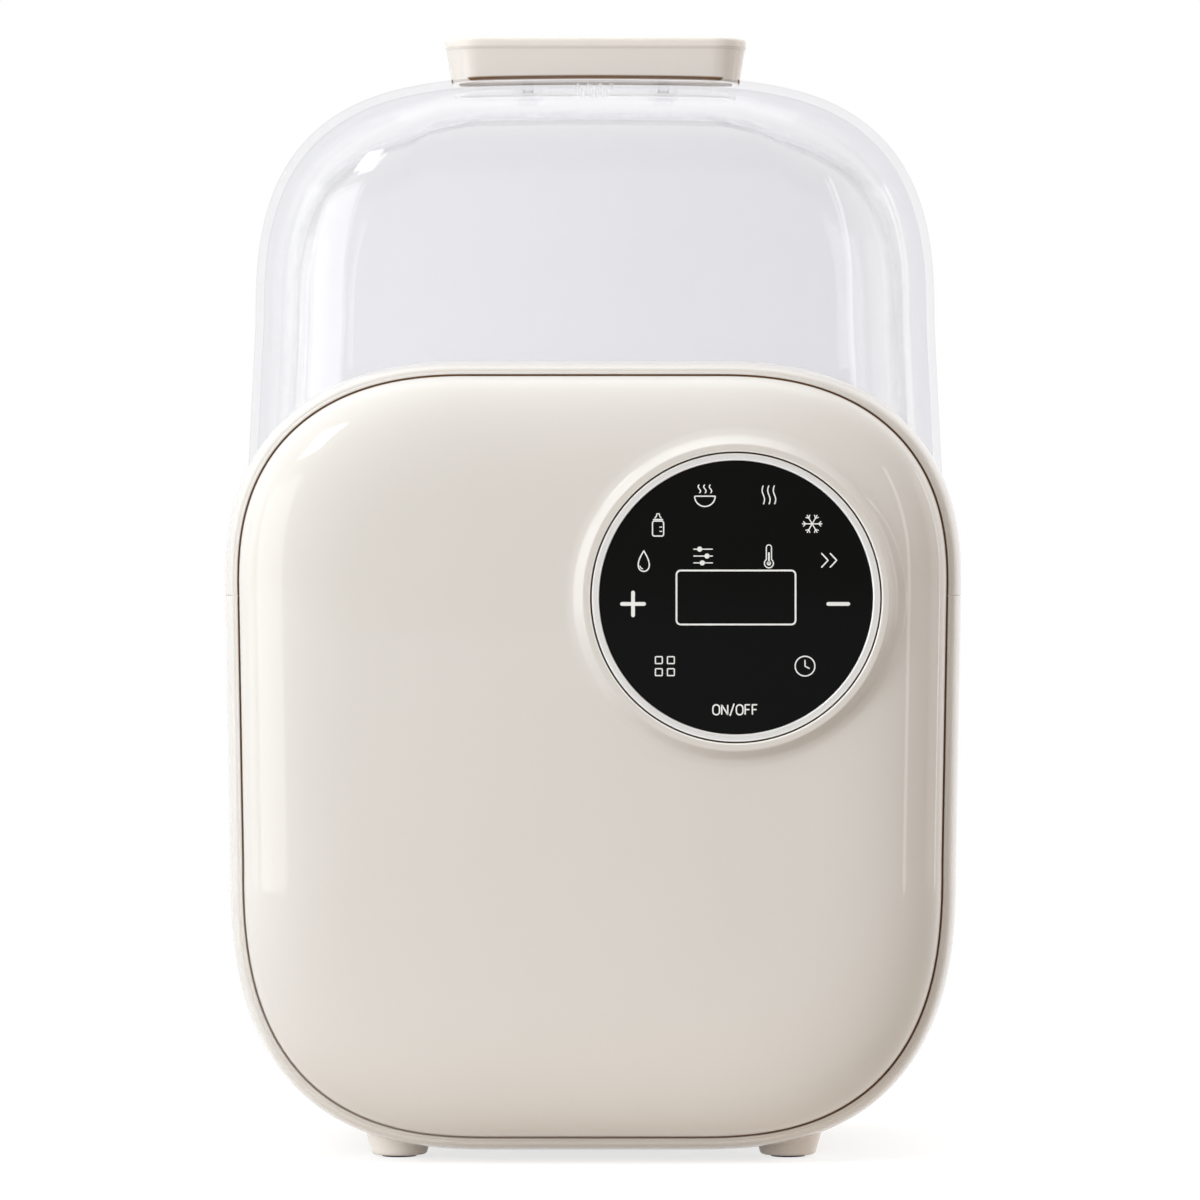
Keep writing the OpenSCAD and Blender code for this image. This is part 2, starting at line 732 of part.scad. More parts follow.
module front_cover() {
    color("#ebe5db")
    difference() {
        union() {
            difference() {
                union() {
                    cup(cover_rows(pillow_d, pillow_w, cover_off),
                        cover_rows(pillow_d - cover_wall, pillow_w - cover_wall, cover_off - cover_wall));
                    forward(dial_x, 0, dial_z)
                        rotate_extrude($fn = 96)
                            polygon(concat([[ledge_r, d_seat], [ledge_r, d_lip - 0.5],
                                [recess_r, d_lip - 0.5],
                                [recess_r, d_lip - 0.3], [recess_r + 0.3, d_lip], [lip_r - 0.8, d_lip],
                                [lip_r - 0.2, d_lip - 0.3]],
                                [for (i = [0:5]) let (t = 90 * i / 5) [boss_r - flank_w * cos(t),
                                    d_lip - 0.9 - (lip_proud - 0.7) * sin(t)]],
                                [[boss_r, d_seat - 6], [boss_r - cover_wall, d_seat - 6],
                                [boss_r - cover_wall, d_seat]]));
                }
                forward(dial_x, -d_ledge, dial_z)
                    cylinder(r = recess_r, h = 20, $fn = 96);
                forward(dial_x, -d_seat + 12, dial_z)
                    cylinder(r = ledge_r, h = 40, $fn = 96);
            }
            for (s = [-1, 1]) {
                backward(s * cover_x, cover_y(s * cover_x, cover_low_z), cover_low_z)
                    cylinder(r = post_r, h = part_y - cover_y(cover_x, cover_low_z));
                backward(s * cover_high_x, cover_y(s * cover_high_x, cover_high_z), cover_high_z)
                    cylinder(r = post_r,
                        h = y_upper - head_h - 1 - wall - cover_y(cover_high_x, cover_high_z));
            }
            board_places()
                translate([0, 0, board_t])
                    cylinder(r = 3, h = board_post + 1);
        }
        cover_places()
            pilot(screw_l + 1);
        board_places()
            translate([0, 0, board_t - 0.5])
                cylinder(r = 0.9, h = board_post + 0.5);
    }
}

module dial_ring() {
    color("#c9cacc")
    forward(dial_x, 0, dial_z)
        rotate_extrude($fn = 96)
            polygon([[panel_r + dial_fit, d_ledge], [ring_r, d_ledge], [ring_r, d_ring - 0.4],
                [ring_r - 0.4, d_ring], [panel_r + dial_fit + 0.5, d_ring],
                [panel_r + dial_fit, d_ring - 0.5]]);
}

module touch_panel() {
    color("#111214")
    forward(dial_x, 0, dial_z)
        rotate_extrude($fn = 96)
            polygon([[0, d_ledge], [panel_r, d_ledge], [panel_r, d_panel - 0.3], [panel_r - 0.3, d_panel],
                [0, d_panel]]);
}

module display_module() {
    color("#e9e9ec")
    translate([dial_x - display_w / 2, -d_ledge, dial_z - display_h / 2])
        cube([display_w, d_ledge - d_board, display_h]);
}

// Keys: plus, minus, two in the lower corners and one at the bottom
key_r = panel_r * 0.75;
module key_places() {
    for (a = [183, 224, 270, 316, 357])
        forward(dial_x + key_r * cos(a), -d_board, dial_z + key_r * sin(a))
            children();
}
module touch_contacts() {
    color("#5b5d61")
    key_places()
        difference() {
            cylinder(r = 3.2, h = d_ledge - d_board);
            translate([0, 0, -1])
                cylinder(r = 1.6, h = d_ledge - d_board + 2);
        }
}

module touch_board() {
    color("#2c5c3a")
    union() {
        difference() {
            forward(dial_x, y_board_back, dial_z)
                cylinder(r = board_r, h = board_t, $fn = 72);
            board_places()
                translate([0, 0, -1])
                    cylinder(r = 1.1, h = board_t + 2);
        }
        // Connector for the ribbon
        translate([ribbon_x - plug_w / 2, y_board_back, dial_z - 11 - plug_h / 2])
            cube([plug_w, plug_h - 1, plug_h]);
    }
}

module touch_board_screws() {
    color("#b9bbbe")
    board_places() {
        cylinder(r = 0.8, h = board_t + board_post - 0.8);
        translate([0, 0, -1.4])
            cylinder(r = 2, h = 1.4);
    }
}

module buzzer() {
    color("#1d1d1f")
    backward(dial_x + 14, y_board_back, dial_z - 12)
        difference() {
            cylinder(r = 6, h = 6.5);
            translate([0, 0, 5.5])
                cylinder(r = 1, h = 2);
        }
}

ribbon_x = dial_x - 20;
ribbon_end = -power_x + power_w / 2 - 14;
module ribbon_cable() {
    color("#c7c9cc")
    bar([[ribbon_x, y_board_back + plug_h - 1, dial_z - 11], [ribbon_x, y_board_back + 7, dial_z - 11],
        [ribbon_x, y_board_back + 9, dial_z - 11], [ribbon_x - 8, y_board_back + 13, dial_z - 26],
        [ribbon_end, y_power - 12, power_z + 26], [ribbon_end, y_power - 10, power_z + 17],
        [ribbon_end, y_power - 8, power_z + 17], [ribbon_end, y_power - plug_h, power_z + 17]],
        [for (c = [[-1, -1], [1, -1], [1, 1], [-1, 1]]) [c[0] * ribbon_w, c[1] * ribbon_t] / 2], [1, 0, 0]);
}

module power_board() {
    color("#6b5a2c")
    union() {
        difference() {
            translate([-power_x - power_w / 2, y_power, power_z - power_h / 2])
                cube([power_w, board_t, power_h]);
            power_places()
                cylinder(r = screw_r + screw_fit, h = 20);
        }
        // Connector for the ribbon
        translate([ribbon_end - plug_w / 2, y_power - plug_h, power_z + 17 - plug_h / 2])
            cube([plug_w, plug_h, plug_h]);
    }
}

module power_transformer() {
    color("#d8c24a")
    translate([-power_x - 4, y_power, power_z - 6]) {
        translate([-core_w / 2, -core_d, -core_h / 2])
            cube([core_w, core_d, core_h]);
        translate([-core_w / 2 + coil_in, -core_d - coil_out, -core_h / 2 - coil_out])
            cube([core_w - 2 * coil_in, core_d + coil_out, core_h + 2 * coil_out]);
    }
}

module power_relay() {
    color("#2456a6")
    translate([-power_x - power_w / 2 + 10, y_power - relay_w, power_z - 8])
        cube([relay_w, relay_w, relay_h]);
}

module power_capacitor() {
    color("#1f2126")
    forward(-power_x + 22, y_power, power_z - 6)
        difference() {
            cylinder(r = capacitor_r, h = capacitor_h);
            translate([0, 0, capacitor_h - 0.5])
                cylinder(r = capacitor_r - 1, h = 1);
        }
}

block_z = power_z - power_h / 2 + 2;
block_x = -power_x + 4;
function terminal_x(i) = block_x + (i - 1.5) * terminal_pitch;
module terminal_block() {
    color("#3d7d4e")
    difference() {
        translate([terminal_x(-0.625), y_power - terminal_d, block_z])
            cube([4.25 * terminal_pitch, terminal_d, terminal_h]);
        for (i = [0:3])
            translate([terminal_x(i), y_power - terminal_d / 2, block_z - 1])
                cylinder(r = 1.5, h = 6);
    }
}

module power_board_screws() {
    color("#b9bbbe")
    power_places()
        translate([0, 0, power_post + board_t])
            rotate([180, 0, 0])
                screw(power_post + board_t);
}

// Mains inlet and its two pins
inlet_hx = 12;
inlet_hz = 7;
socket_hx = pin_pitch / 2 + socket_r - 0.2;
pin_y = y_back - socket_d;
module mains_inlet() {
    color("#232427")
    difference() {
        union() {
            translate([inlet_x - inlet_hx, pin_y - 3, inlet_z - inlet_hz])
                cube([2 * inlet_hx, socket_d + 3, 2 * inlet_hz]);
            translate([inlet_x - inlet_hx - 3, y_back - wall - 2.5, inlet_z - inlet_hz - 3])
                cube([2 * inlet_hx + 6, 2.5, 2 * inlet_hz + 6]);
        }
        backward(inlet_x, pin_y, inlet_z)
            linear_extrude(socket_d + 1)
                for (s = [-1, 1]) {
                    translate([s * pin_pitch / 2, 0])
                        circle(socket_r);
                    translate([-pin_pitch / 2, -socket_r])
                        square([pin_pitch, 2 * socket_r]);
                }
        for (s = [-1, 1])
            backward(inlet_x + s * pin_pitch / 2, pin_y - 4, inlet_z)
                cylinder(r = pin_r, h = 5);
    }
}
module inlet_pins() {
    color("#c8b26a")
    for (s = [-1, 1]) {
        backward(inlet_x + s * pin_pitch / 2, pin_y - 8, inlet_z)
            cylinder(r = pin_r, h = socket_d + 6.5);
    }
}

lead_r = 1.2;
terminal_y = y_power - terminal_d / 2;
module mains_leads() {
    color("#8a5a32")
    for (i = [0, 1])
        bar([[inlet_x + (2 * i - 1) * pin_pitch / 2, pin_y - 8, inlet_z],
            [inlet_x + (2 * i - 1) * pin_pitch / 2, pin_y - 11, inlet_z],
            [inlet_x + (2 * i - 1) * pin_pitch / 2, pin_y - 14, inlet_z],
            [26 + i * 6, y_mid + 20, 33], [24 + i * 5, y_mid - 10, 28], [16 + i * 5, part_back + 6, 21],
            [6 + i * 5, part_y - 4, 21], [terminal_x(i + 2), part_y - 13, 34],
            [terminal_x(i + 2), terminal_y, block_z - 9], [terminal_x(i + 2), terminal_y, block_z - 4],
            [terminal_x(i + 2), terminal_y, block_z], [terminal_x(i + 2), terminal_y, block_z + 5]],
            round_section(lead_r), [1, 0.2, 0.1]);
}

// Ends of the heating element, a third of a turn apart at the front of the loop
element_gap = 40;
function element_end(s) = [element_loop * sin(s * element_gap / 2),
    y_mid - element_loop * cos(element_gap / 2)];
terminal_z = plate_under - 2 * element_r - 8;
module heater_leads() {
    color("#b5443a")
    for (i = [0, 1])
        let (e = element_end(2 * i - 1))
        bar([[e[0], e[1], terminal_z], [e[0], e[1], terminal_z - 3], [e[0], e[1], terminal_z - 6],
            [e[0] - 4, e[1] - 16, 26 + i],
            [-22 + i * 8, part_back + 6, 21], [-24 + i * 6, part_y - 5, 21],
            [terminal_x(i), part_y - 13, 34], [terminal_x(i), terminal_y, block_z - 9],
            [terminal_x(i), terminal_y, block_z - 4], [terminal_x(i), terminal_y, block_z],
            [terminal_x(i), terminal_y, block_z + 5]],
            round_section(lead_r), [1, 0.2, 0.1]);
}

// Tub: loops from the floor up to the flange, drawn in from the foot of the lid
function tub_loop(o, z) = rev(plan_loop(lid_hx + o, lid_hy + o, lid_corner + o, z));
function tub_rows(w) = concat(
    [for (t = [90:-22.5:0]) tub_loop(tub_low_off + w - (tub_r + w) * (1 - cos(t)),
        tub_floor_z + tub_r - (tub_r + w) * sin(t))],
    [tub_loop(tub_top_off + w, parting_z - mouth_h - 3), tub_loop(mouth_off + w, parting_z - mouth_h),
        tub_loop(mouth_off + w, flange_z + flange_t / 2)]);

module inner_tub() {
    color("#d7d6d4")
    difference() {
        union() {
            cup(tub_rows(tub_wall), tub_rows(0));
            translate([0, 0, flange_z])
                linear_extrude(flange_t)
                    difference() {
                        flange_plan();
                        lid_plan(mouth_off + tub_wall / 2);
                    }
            difference() {
                union() {
                    tub_places()
                        translate([0, 0, tub_post_z])
                            cylinder(r = post_r, h = tub_floor_z - tub_post_z - tub_wall / 2);
                    heater_places()
                        translate([0, 0, plate_under])
                            cylinder(r = post_r, h = tub_floor_z - plate_under - tub_wall / 2);
                }
                tub_places()
                    translate([0, 0, tub_post_z])
                        pilot(screw_l - 3);
                heater_places()
                    translate([0, 0, plate_under])
                        pilot(4);
            }
        }
        translate([0, y_mid, tub_under - 1])
            cylinder(r = hole_r, h = tub_wall + 2, $fn = 96);
    }
}
module flange_plan() {
    fx = side_x(flange_z, 0) - tub_fit * 2;
    fb = y_back - tub_fit * 2;
    r = back_r - tub_fit * 2;
    translate([-fx, flange_y])
        square([2 * fx, fb - r - flange_y]);
    translate([-fx + r, flange_y])
        square([2 * (fx - r), fb - flange_y]);
    for (s = [-1, 1])
        translate([s * (fx - r), fb - r])
            circle(r, $fn = 72);
}

module tub_screws() {
    color("#b9bbbe")
    tub_places()
        translate([0, 0, tub_post_z - 4])
            screw();
}

module heating_plate() {
    color("#8f9296")
    translate([0, y_mid, 0])
        rotate_extrude($fn = 96)
            polygon([[0, plate_under], [plate_out, plate_under], [plate_out, plate_under + plate_t],
                [plate_r, plate_under + plate_t], [plate_r, tub_floor_z - 0.8], [plate_r - 0.8, tub_floor_z],
                [0, tub_floor_z]]);
}

module plate_seal() {
    color("#b8483c")
    translate([0, y_mid, 0])
        rotate_extrude($fn = 96)
            polygon([[plate_r + 0.05, plate_under + plate_t], [plate_out - 0.5, plate_under + plate_t],
                [plate_out - 0.5, tub_under], [hole_r - 0.05, tub_under], [hole_r - 0.05, tub_floor_z - 0.3],
                [plate_r + 0.05, tub_floor_z - 0.8]]);
}

module heating_element() {
    color("#7d7f83")
    translate([0, y_mid, plate_under - element_r]) {
        rotate([0, 0, -90 + element_gap / 2])
            rotate_extrude(angle = 360 - element_gap, $fn = 96)
                translate([element_loop, 0])
                    circle(element_r, $fn = 24);
        for (s = [-1, 1])
            translate([element_end(s)[0], element_end(s)[1] - y_mid, 0]) {
                translate([0, 0, -element_r - 1])
                    cylinder(r = element_r + 0.9, h = 2 * element_r + 0.5);
                translate([0, 0, -element_r - 8])
                    cylinder(r = 1.6, h = element_r + 8);
            }
    }
}

module heater_retainer() {
    color("#a9abae")
    difference() {
        translate([0, y_mid, retainer_under])
            difference() {
                cylinder(r = heater_pcd + retainer_edge, h = retainer_t, $fn = 96);
                translate([0, 0, -1])
                    cylinder(r = plate_out - plate_screw, h = retainer_t + 2, $fn = 96);
            }
        heater_places()
            cylinder(r = screw_r + screw_fit, h = 100);
    }
}

module heater_screws() {
    color("#b9bbbe")
    heater_places()
        translate([0, 0, retainer_under])
            screw(retainer_t + 3.6);
}

module thermostat() {
    color("#3b3c3f")
    translate([0, y_mid + 4, 0]) {
        translate([0, 0, plate_under - 5])
            cylinder(r = 8, h = 5);
        translate([0, 0, plate_under - 11])
            cylinder(r = 6.5, h = 6);
        for (s = [-1, 1])
            translate([s * 4 - 0.4, -2, plate_under - 17])
                cube([0.8, 4, 6]);
    }
}

module thermal_fuse() {
    color("#e4e0d4")
    translate([sensor_x, y_mid, plate_under - 2.2]) {
        rotate([90, 0, 0])
            cylinder(r = 2.2, h = 12, center = true);
        translate([-3, -2, 0])
            cube([6, 4, 2.2]);
        rotate([90, 0, 0])
            cylinder(r = 0.6, h = 20, center = true);
    }
}

module temperature_sensor() {
    color("#c0873b")
    translate([-sensor_x, y_mid, 0]) {
        translate([0, 0, plate_under - 9])
            cylinder(r = 2.6, h = 9);
        translate([0, 0, plate_under - 12])
            cylinder(r = 4, h = 3);
    }
}

// Bottle basket: two slotted wells, a pierced floor, legs and the grip between the wells
module well_places() {
    for (s = [-1, 1])
        translate([s * well_x, y_mid, 0])
            rotate([0, 0, s > 0 ? 180 : 0])
                children();
}
module bottle_basket() {
    color("#e2e3e6")
    union() {
        difference() {
            union() {
                well_places()
                    translate([0, 0, basket_z])
                        cylinder(r = basket_out, h = basket_h, $fn = 72);
                translate([-well_x, y_mid - bridge_w / 2, basket_z])
                    cube([well_pitch, bridge_w, basket_h]);
            }
            well_places() {
                translate([0, 0, basket_z + basket_wall])
                    cylinder(r = well_r, h = basket_h, $fn = 72);
                // Steam holes in the floor
                cylinder(r = steam_r, h = basket_z + 20);
                for (a = [0:45:315])
                    rotate([0, 0, a])
                        translate([well_r * 0.6, 0, 0])
                            cylinder(r = ring_hole_r, h = basket_z + 20);
                // Slots in the wall
                for (a = [60:30:300])
                    rotate([0, 0, a])
                        translate([well_r - 2, -slot_w / 2, basket_z + slot_edge])
                            cube([basket_wall + 4, slot_w, basket_h - 2 * slot_edge]);
            }
        }
        well_places()
            for (sy = [-1, 1])
                translate([0, sy * (well_r - leg_in), tub_floor_z + seat_gap])
                    cylinder(r1 = leg_r - 1, r2 = leg_r, h = basket_leg + 1);
        // Grip
        translate([-grip_t / 2, y_mid - grip_w / 2, basket_z + 1])
            cube([grip_t, grip_w, grip_c - grip_r + grip_band / 2 - basket_z - 1]);
        translate([-grip_t / 2, y_mid, grip_c])
            rotate([0, 90, 0])
                difference() {
                    cylinder(r = grip_r, h = grip_t, $fn = 72);
                    translate([0, 0, -1])
                        cylinder(r = grip_r - grip_band, h = grip_t + 2, $fn = 72);
                }
    }
}

// Lid: loops from the top down to the foot
lid_foot = parting_z + seat_gap;
shoulder_x = lid_hx - lid_draft - cap_hx;
shoulder_y = lid_hy - lid_draft_y - cap_hy;
lid_sz = lid_top_z - shoulder_z;
lid_sy = lid_top_z - shoulder_y;
function lid_hx_at(z, w) = z < lid_sz
    ? lid_hx - w - lid_draft * (z - lid_foot) / (lid_sz - lid_foot)
    : cap_hx + (shoulder_x - w) * ease((z - lid_sz) / (shoulder_z - w), shoulder_n);
function lid_hy_at(z, w) = z < lid_sy
    ? lid_hy - w - lid_draft_y * (z - lid_foot) / (lid_sy - lid_foot)
    : cap_hy + (shoulder_y - w) * ease((z - lid_sy) / (shoulder_y - w), shoulder_yn);
lid_levels = [1, 0.994, 0.98, 0.955, 0.92, 0.87, 0.8, 0.72, 0.62, 0.5, 0.36, 0.2, 0];
function lid_loop(z, w) = let (hx = lid_hx_at(z, w), hy = lid_hy_at(z, w))
    plan_loop(hx, hy, min(lid_corner - w, hy * 0.68), z);
function lid_rows(w) = concat([for (u = lid_levels) lid_loop(lid_sz + u * (shoulder_z - w), w)],
    [lid_loop(lid_foot, w)]);

module lid_dome() {
    color("#dfe0ea", 0.45)
    difference() {
        union() {
            cup(lid_rows(0), lid_rows(lid_wall));
            translate([0, 0, lid_foot])
                linear_extrude(3)
                    difference() {
                        lid_plan(-0.8);
                        lid_plan(skirt_off - skirt_t);
                    }
            translate([0, 0, lid_foot - skirt_h])
                linear_extrude(skirt_h + 1)
                    difference() {
                        lid_plan(skirt_off);
                        lid_plan(skirt_off - skirt_t);
                    }
        }
        for (s = [-1, 1])
            translate([s * handle_pitch / 2, y_mid, lid_top_z - lid_wall - 5])
                cylinder(r = screw_r + screw_fit, h = lid_wall + 10);
        vent_places()
            cylinder(r = vent_r, h = 40);
    }
}
module vent_places() {
    for (i = [-1:1])
        translate([i * vent_pitch, y_lid_front + shoulder_y * 0.42, lid_top_z - 30])
            children();
    for (i = [-1.5:1:1.5])
        translate([i * vent_pitch, y_lid_front + shoulder_y * 0.42 + vent_pitch * 0.9, lid_top_z - 30])
            children();
}

// Handle: loops from its foot up to its top
function handle_loop(i, z) = rev(plan_loop(handle_l / 2 - i, handle_d / 2 - i, handle_d / 2 - i - 3, z, 6));
module lid_handle() {
    color("#e7e1d7")
    difference() {
        loaf([handle_loop(handle_flare, lid_top_z - 1.2), handle_loop(handle_flare, lid_top_z + 1),
            handle_loop(0.5, lid_top_z + handle_h - 3), handle_loop(0.05, lid_top_z + handle_h - 2.2),
            handle_loop(0, lid_top_z + handle_h - 1.4), handle_loop(0.4, lid_top_z + handle_h - 0.6),
            handle_loop(1.6, lid_top_z + handle_h)]);
        loaf(lid_rows(0));
        for (s = [-1, 1])
            translate([s * handle_pitch / 2, y_mid, lid_top_z - 2])
                cylinder(r = screw_r + screw_fit, h = screw_l);
    }
}

module handle_washers() {
    color("#d6d7da")
    for (s = [-1, 1])
        translate([s * handle_pitch / 2, y_mid, lid_top_z - lid_wall - 1])
            difference() {
                cylinder(r = head_r + 1.4, h = 1);
                translate([0, 0, -1])
                    cylinder(r = screw_r + screw_fit, h = 3);
            }
}

module handle_screws() {
    color("#c3c5c8")
    for (s = [-1, 1])
        translate([s * handle_pitch / 2, y_mid, lid_top_z - lid_wall - 1])
            screw();
}

module cover_screws() {
    color("#b9bbbe")
    cover_places()
        screw();
}

module bottom_screws() {
    color("#b9bbbe")
    hatch_places()
        translate([0, 0, underside_z + hatch_sink])
            screw();
}

front_cover();
upper_back_cover();
base_housing();
bottom_cover();
feet();
foot_pads();
dial_ring();
touch_panel();
display_module();
touch_contacts();
touch_board();
touch_board_screws();
buzzer();
ribbon_cable();
power_board();
power_transformer();
power_relay();
power_capacitor();
terminal_block();
power_board_screws();
mains_inlet();
inlet_pins();
mains_leads();
heater_leads();
inner_tub();
tub_screws();
heating_plate();
plate_seal();
heating_element();
heater_retainer();
heater_screws();
thermostat();
thermal_fuse();
temperature_sensor();
bottle_basket();
lid_dome();
lid_handle();
handle_screws();
handle_washers();
cover_screws();
bottom_screws();
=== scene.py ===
# %% [markdown]
# A bottle warmer and steam sterilizer. The CAD model fixes every size and joint, and this lesson dresses
# it: each shell that shows is worked out again as a smooth numpy surface from the same measures, and every
# surface gets a procedural finish. Lengths below are millimetres; a mesh is stored in metres.

import json

import bmesh
import bpy
import numpy as np
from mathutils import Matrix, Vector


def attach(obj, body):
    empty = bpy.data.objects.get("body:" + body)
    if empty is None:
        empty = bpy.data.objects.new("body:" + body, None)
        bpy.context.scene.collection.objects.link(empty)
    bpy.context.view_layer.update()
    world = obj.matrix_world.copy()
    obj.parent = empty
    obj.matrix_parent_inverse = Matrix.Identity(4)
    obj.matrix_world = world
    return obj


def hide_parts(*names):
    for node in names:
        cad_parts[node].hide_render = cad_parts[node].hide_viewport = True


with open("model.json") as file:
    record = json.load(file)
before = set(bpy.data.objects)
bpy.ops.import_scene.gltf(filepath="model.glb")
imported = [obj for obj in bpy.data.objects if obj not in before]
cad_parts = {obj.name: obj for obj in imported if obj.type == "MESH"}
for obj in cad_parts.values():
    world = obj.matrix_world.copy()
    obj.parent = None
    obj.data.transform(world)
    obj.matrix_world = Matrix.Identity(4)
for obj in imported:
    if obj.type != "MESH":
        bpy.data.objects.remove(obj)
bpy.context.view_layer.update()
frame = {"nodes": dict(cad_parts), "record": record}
scene = bpy.context.scene
scene.view_settings.view_transform = "Standard"
MM = 0.001

# %% [markdown]
# The picture is taken square from the front with a long lens, so the sides almost don't show. A long focal
# length almost two metres away gives the same flat perspective. The lens stands a little right of the
# middle and is shifted back, as a view camera is, because the lid and its handle sit a few hairs right of
# the body.

# %% Camera
LENS, SENSOR, SHIFT = 192.9, 36, -0.0457
camera_data = bpy.data.cameras.new("front_camera")
camera_data.sensor_width = SENSOR
camera_data.lens = LENS
camera_data.shift_x = SHIFT
camera = bpy.data.objects.new("front_camera", camera_data)
camera.location = (0.0175, -1.880, 0.1588)
camera.rotation_euler = (np.pi / 2, 0, 0)
scene.collection.objects.link(camera)
scene.camera = camera
print("camera at", tuple(camera.location))

# %% [markdown]
# Shader sums read better as sums. A wire stands for one output socket: arithmetic on wires adds Math nodes,
# and one method adds any other node, with its settings first and then its sockets. The short methods after
# it give the nodes that come back in almost every finish.


# %% Wires for shader maths
def feed(tree, socket, value):
    """Links a wire to a socket, or sets the socket to a plain number, vector or colour."""
    if isinstance(value, Wire):
        tree.links.new(value.socket, socket)
    elif isinstance(value, tuple) and len(value) == 3 and socket.type == "RGBA":
        socket.default_value = (*value, 1)
    else:
        socket.default_value = value


class Wire:
    """One output socket of a shader tree; sums of wires and numbers become Math nodes."""

    def __init__(self, tree, socket):
        self.tree = tree
        self.socket = socket

    def node(self, kind, settings=None, inputs=None, output=0):
        """A node of the given kind, its settings made first and its sockets fed next; gives one output."""
        made = self.tree.nodes.new(kind)
        for name, value in (settings or {}).items():
            setattr(made, name, value)
        for name, value in (inputs or {}).items():
            feed(self.tree, made.inputs[name], value)
        return Wire(self.tree, made.outputs[output])

    def math(self, operation, first, second):
        """A Math node on two wires or numbers."""
        return self.node("ShaderNodeMath", {"operation": operation}, {0: first, 1: second})

    def greater(self, other):
        """The greater of this wire and another."""
        return self.math("MAXIMUM", self, other)

    def blend(self, low, high):
        """Colour between low and high, by this wire as the share of high."""
        return self.node("ShaderNodeMix", {"data_type": "RGBA"}, {0: self, 6: low, 7: high}, 2)

    def mixed(self, first, second):
        """Shader between two shaders, by this wire as the share of the second."""
        return self.node("ShaderNodeMixShader", {}, {0: self, 1: first, 2: second})

    def between(self, low, high, most=1.0, settings=None):
        """Goes from 0 to most as this wire goes from low to high, and stays level outside them."""
        span = {"Value": self, "From Min": low, "From Max": high, "To Max": most}
        return self.node("ShaderNodeMapRange", settings, span)

    def axis(self, name):
        """One coordinate of a place or a direction."""
        return self.node("ShaderNodeSeparateXYZ", {}, {0: self}, name)

    def noise(self, scale, detail):
        """Soft noise in space, read at this place."""
        return self.node("ShaderNodeTexNoise", {}, {"Vector": self, "Scale": scale, "Detail": detail})

    def bump(self, strength, distance):
        """Normal of a surface that stands out by this wire as its height."""
        return self.node("ShaderNodeBump", {}, {"Strength": strength, "Distance": distance, "Height": self})

    def __add__(self, other):
        return self.math("ADD", self, other)

    def __radd__(self, other):
        return self.math("ADD", other, self)

    def __sub__(self, other):
        return self.math("SUBTRACT", self, other)

    def __rsub__(self, other):
        return self.math("SUBTRACT", other, self)

    def __mul__(self, other):
        return self.math("MULTIPLY", self, other)

    def __rmul__(self, other):
        return self.math("MULTIPLY", other, self)


print("wires ready")

# %% [markdown]
# The product stands in a white cove with a dimmer, warmer room in front of it. The world is plain white to
# the camera and through glass. As fill light and in reflections it is pale behind the product and grey
# before it, so that edges which turn away from the camera catch the cove.

# %% World
WHITE, BLACK = (1.0, 1.0, 1.0), (0.0, 0.0, 0.0)
ROOM, COVE = (0.575, 0.526, 0.472), (0.90, 0.90, 0.90)
ROOM_END, COVE_START = -0.25, 0.35


def ray_kinds(tree, *kinds):
    """Wire that is 1 for light rays of any of the given kinds and 0 for the rest."""
    rays = tree.nodes.new("ShaderNodeLightPath")
    share, *others = (Wire(tree, rays.outputs[f"Is {kind} Ray"]) for kind in kinds)
    for other in others:
        share = share.greater(other)
    return share


world = bpy.data.worlds.new("white_cove")
scene.world = world
world.use_nodes = True
tree = world.node_tree
direction = Wire(tree, tree.nodes.new("ShaderNodeTexCoord").outputs["Generated"])
behind = direction.axis("Y").between(ROOM_END, COVE_START)
around = behind.blend(ROOM, ray_kinds(tree, "Glossy").blend(COVE, WHITE))
sky = tree.nodes["Background"]
feed(tree, sky.inputs["Color"], ray_kinds(tree, "Camera", "Transmission").blend(around, WHITE))
sky.inputs["Strength"].default_value = 1.0
print("fill light", ROOM)

# %% [markdown]
# Meshes come from whole arrays. A lattice joins neighbours of a grid of points with four-sided faces; grids
# are then put together, seams and poles welded, faces turned outwards, and edges sharper than an angle
# kept.

# %% Surfaces from grids of points
WELD, CREASE = 1e-6, 35


def lattice(points, around=True, closed=False):
    """Faces of a grid (rows by columns): around joins the last column to the first, closed the last row."""
    rows, columns = points.shape[:2]
    index = np.arange(rows * columns).reshape(rows, columns)
    if around:
        index = np.concatenate([index, index[:, :1]], axis=1)
    if closed:
        index = np.concatenate([index, index[:1]], axis=0)
    corners = [index[:-1, :-1], index[:-1, 1:], index[1:, 1:], index[1:, :-1]]
    return points.reshape(-1, 3), np.stack(corners, axis=-1).reshape(-1, 4)


def smooth(mesh):
    """Shades a mesh smooth and keeps the edges that are sharper than the crease."""
    mesh.shade_smooth()
    mesh.set_sharp_from_angle(angle=np.radians(CREASE))


def close_up(mesh):
    """Welds points within a micrometre, turns faces outwards and shades the mesh."""
    work = bmesh.new()
    work.from_mesh(mesh)
    bmesh.ops.remove_doubles(work, verts=work.verts, dist=WELD)
    bmesh.ops.recalc_face_normals(work, faces=work.faces)
    work.to_mesh(mesh)
    work.free()
    smooth(mesh)


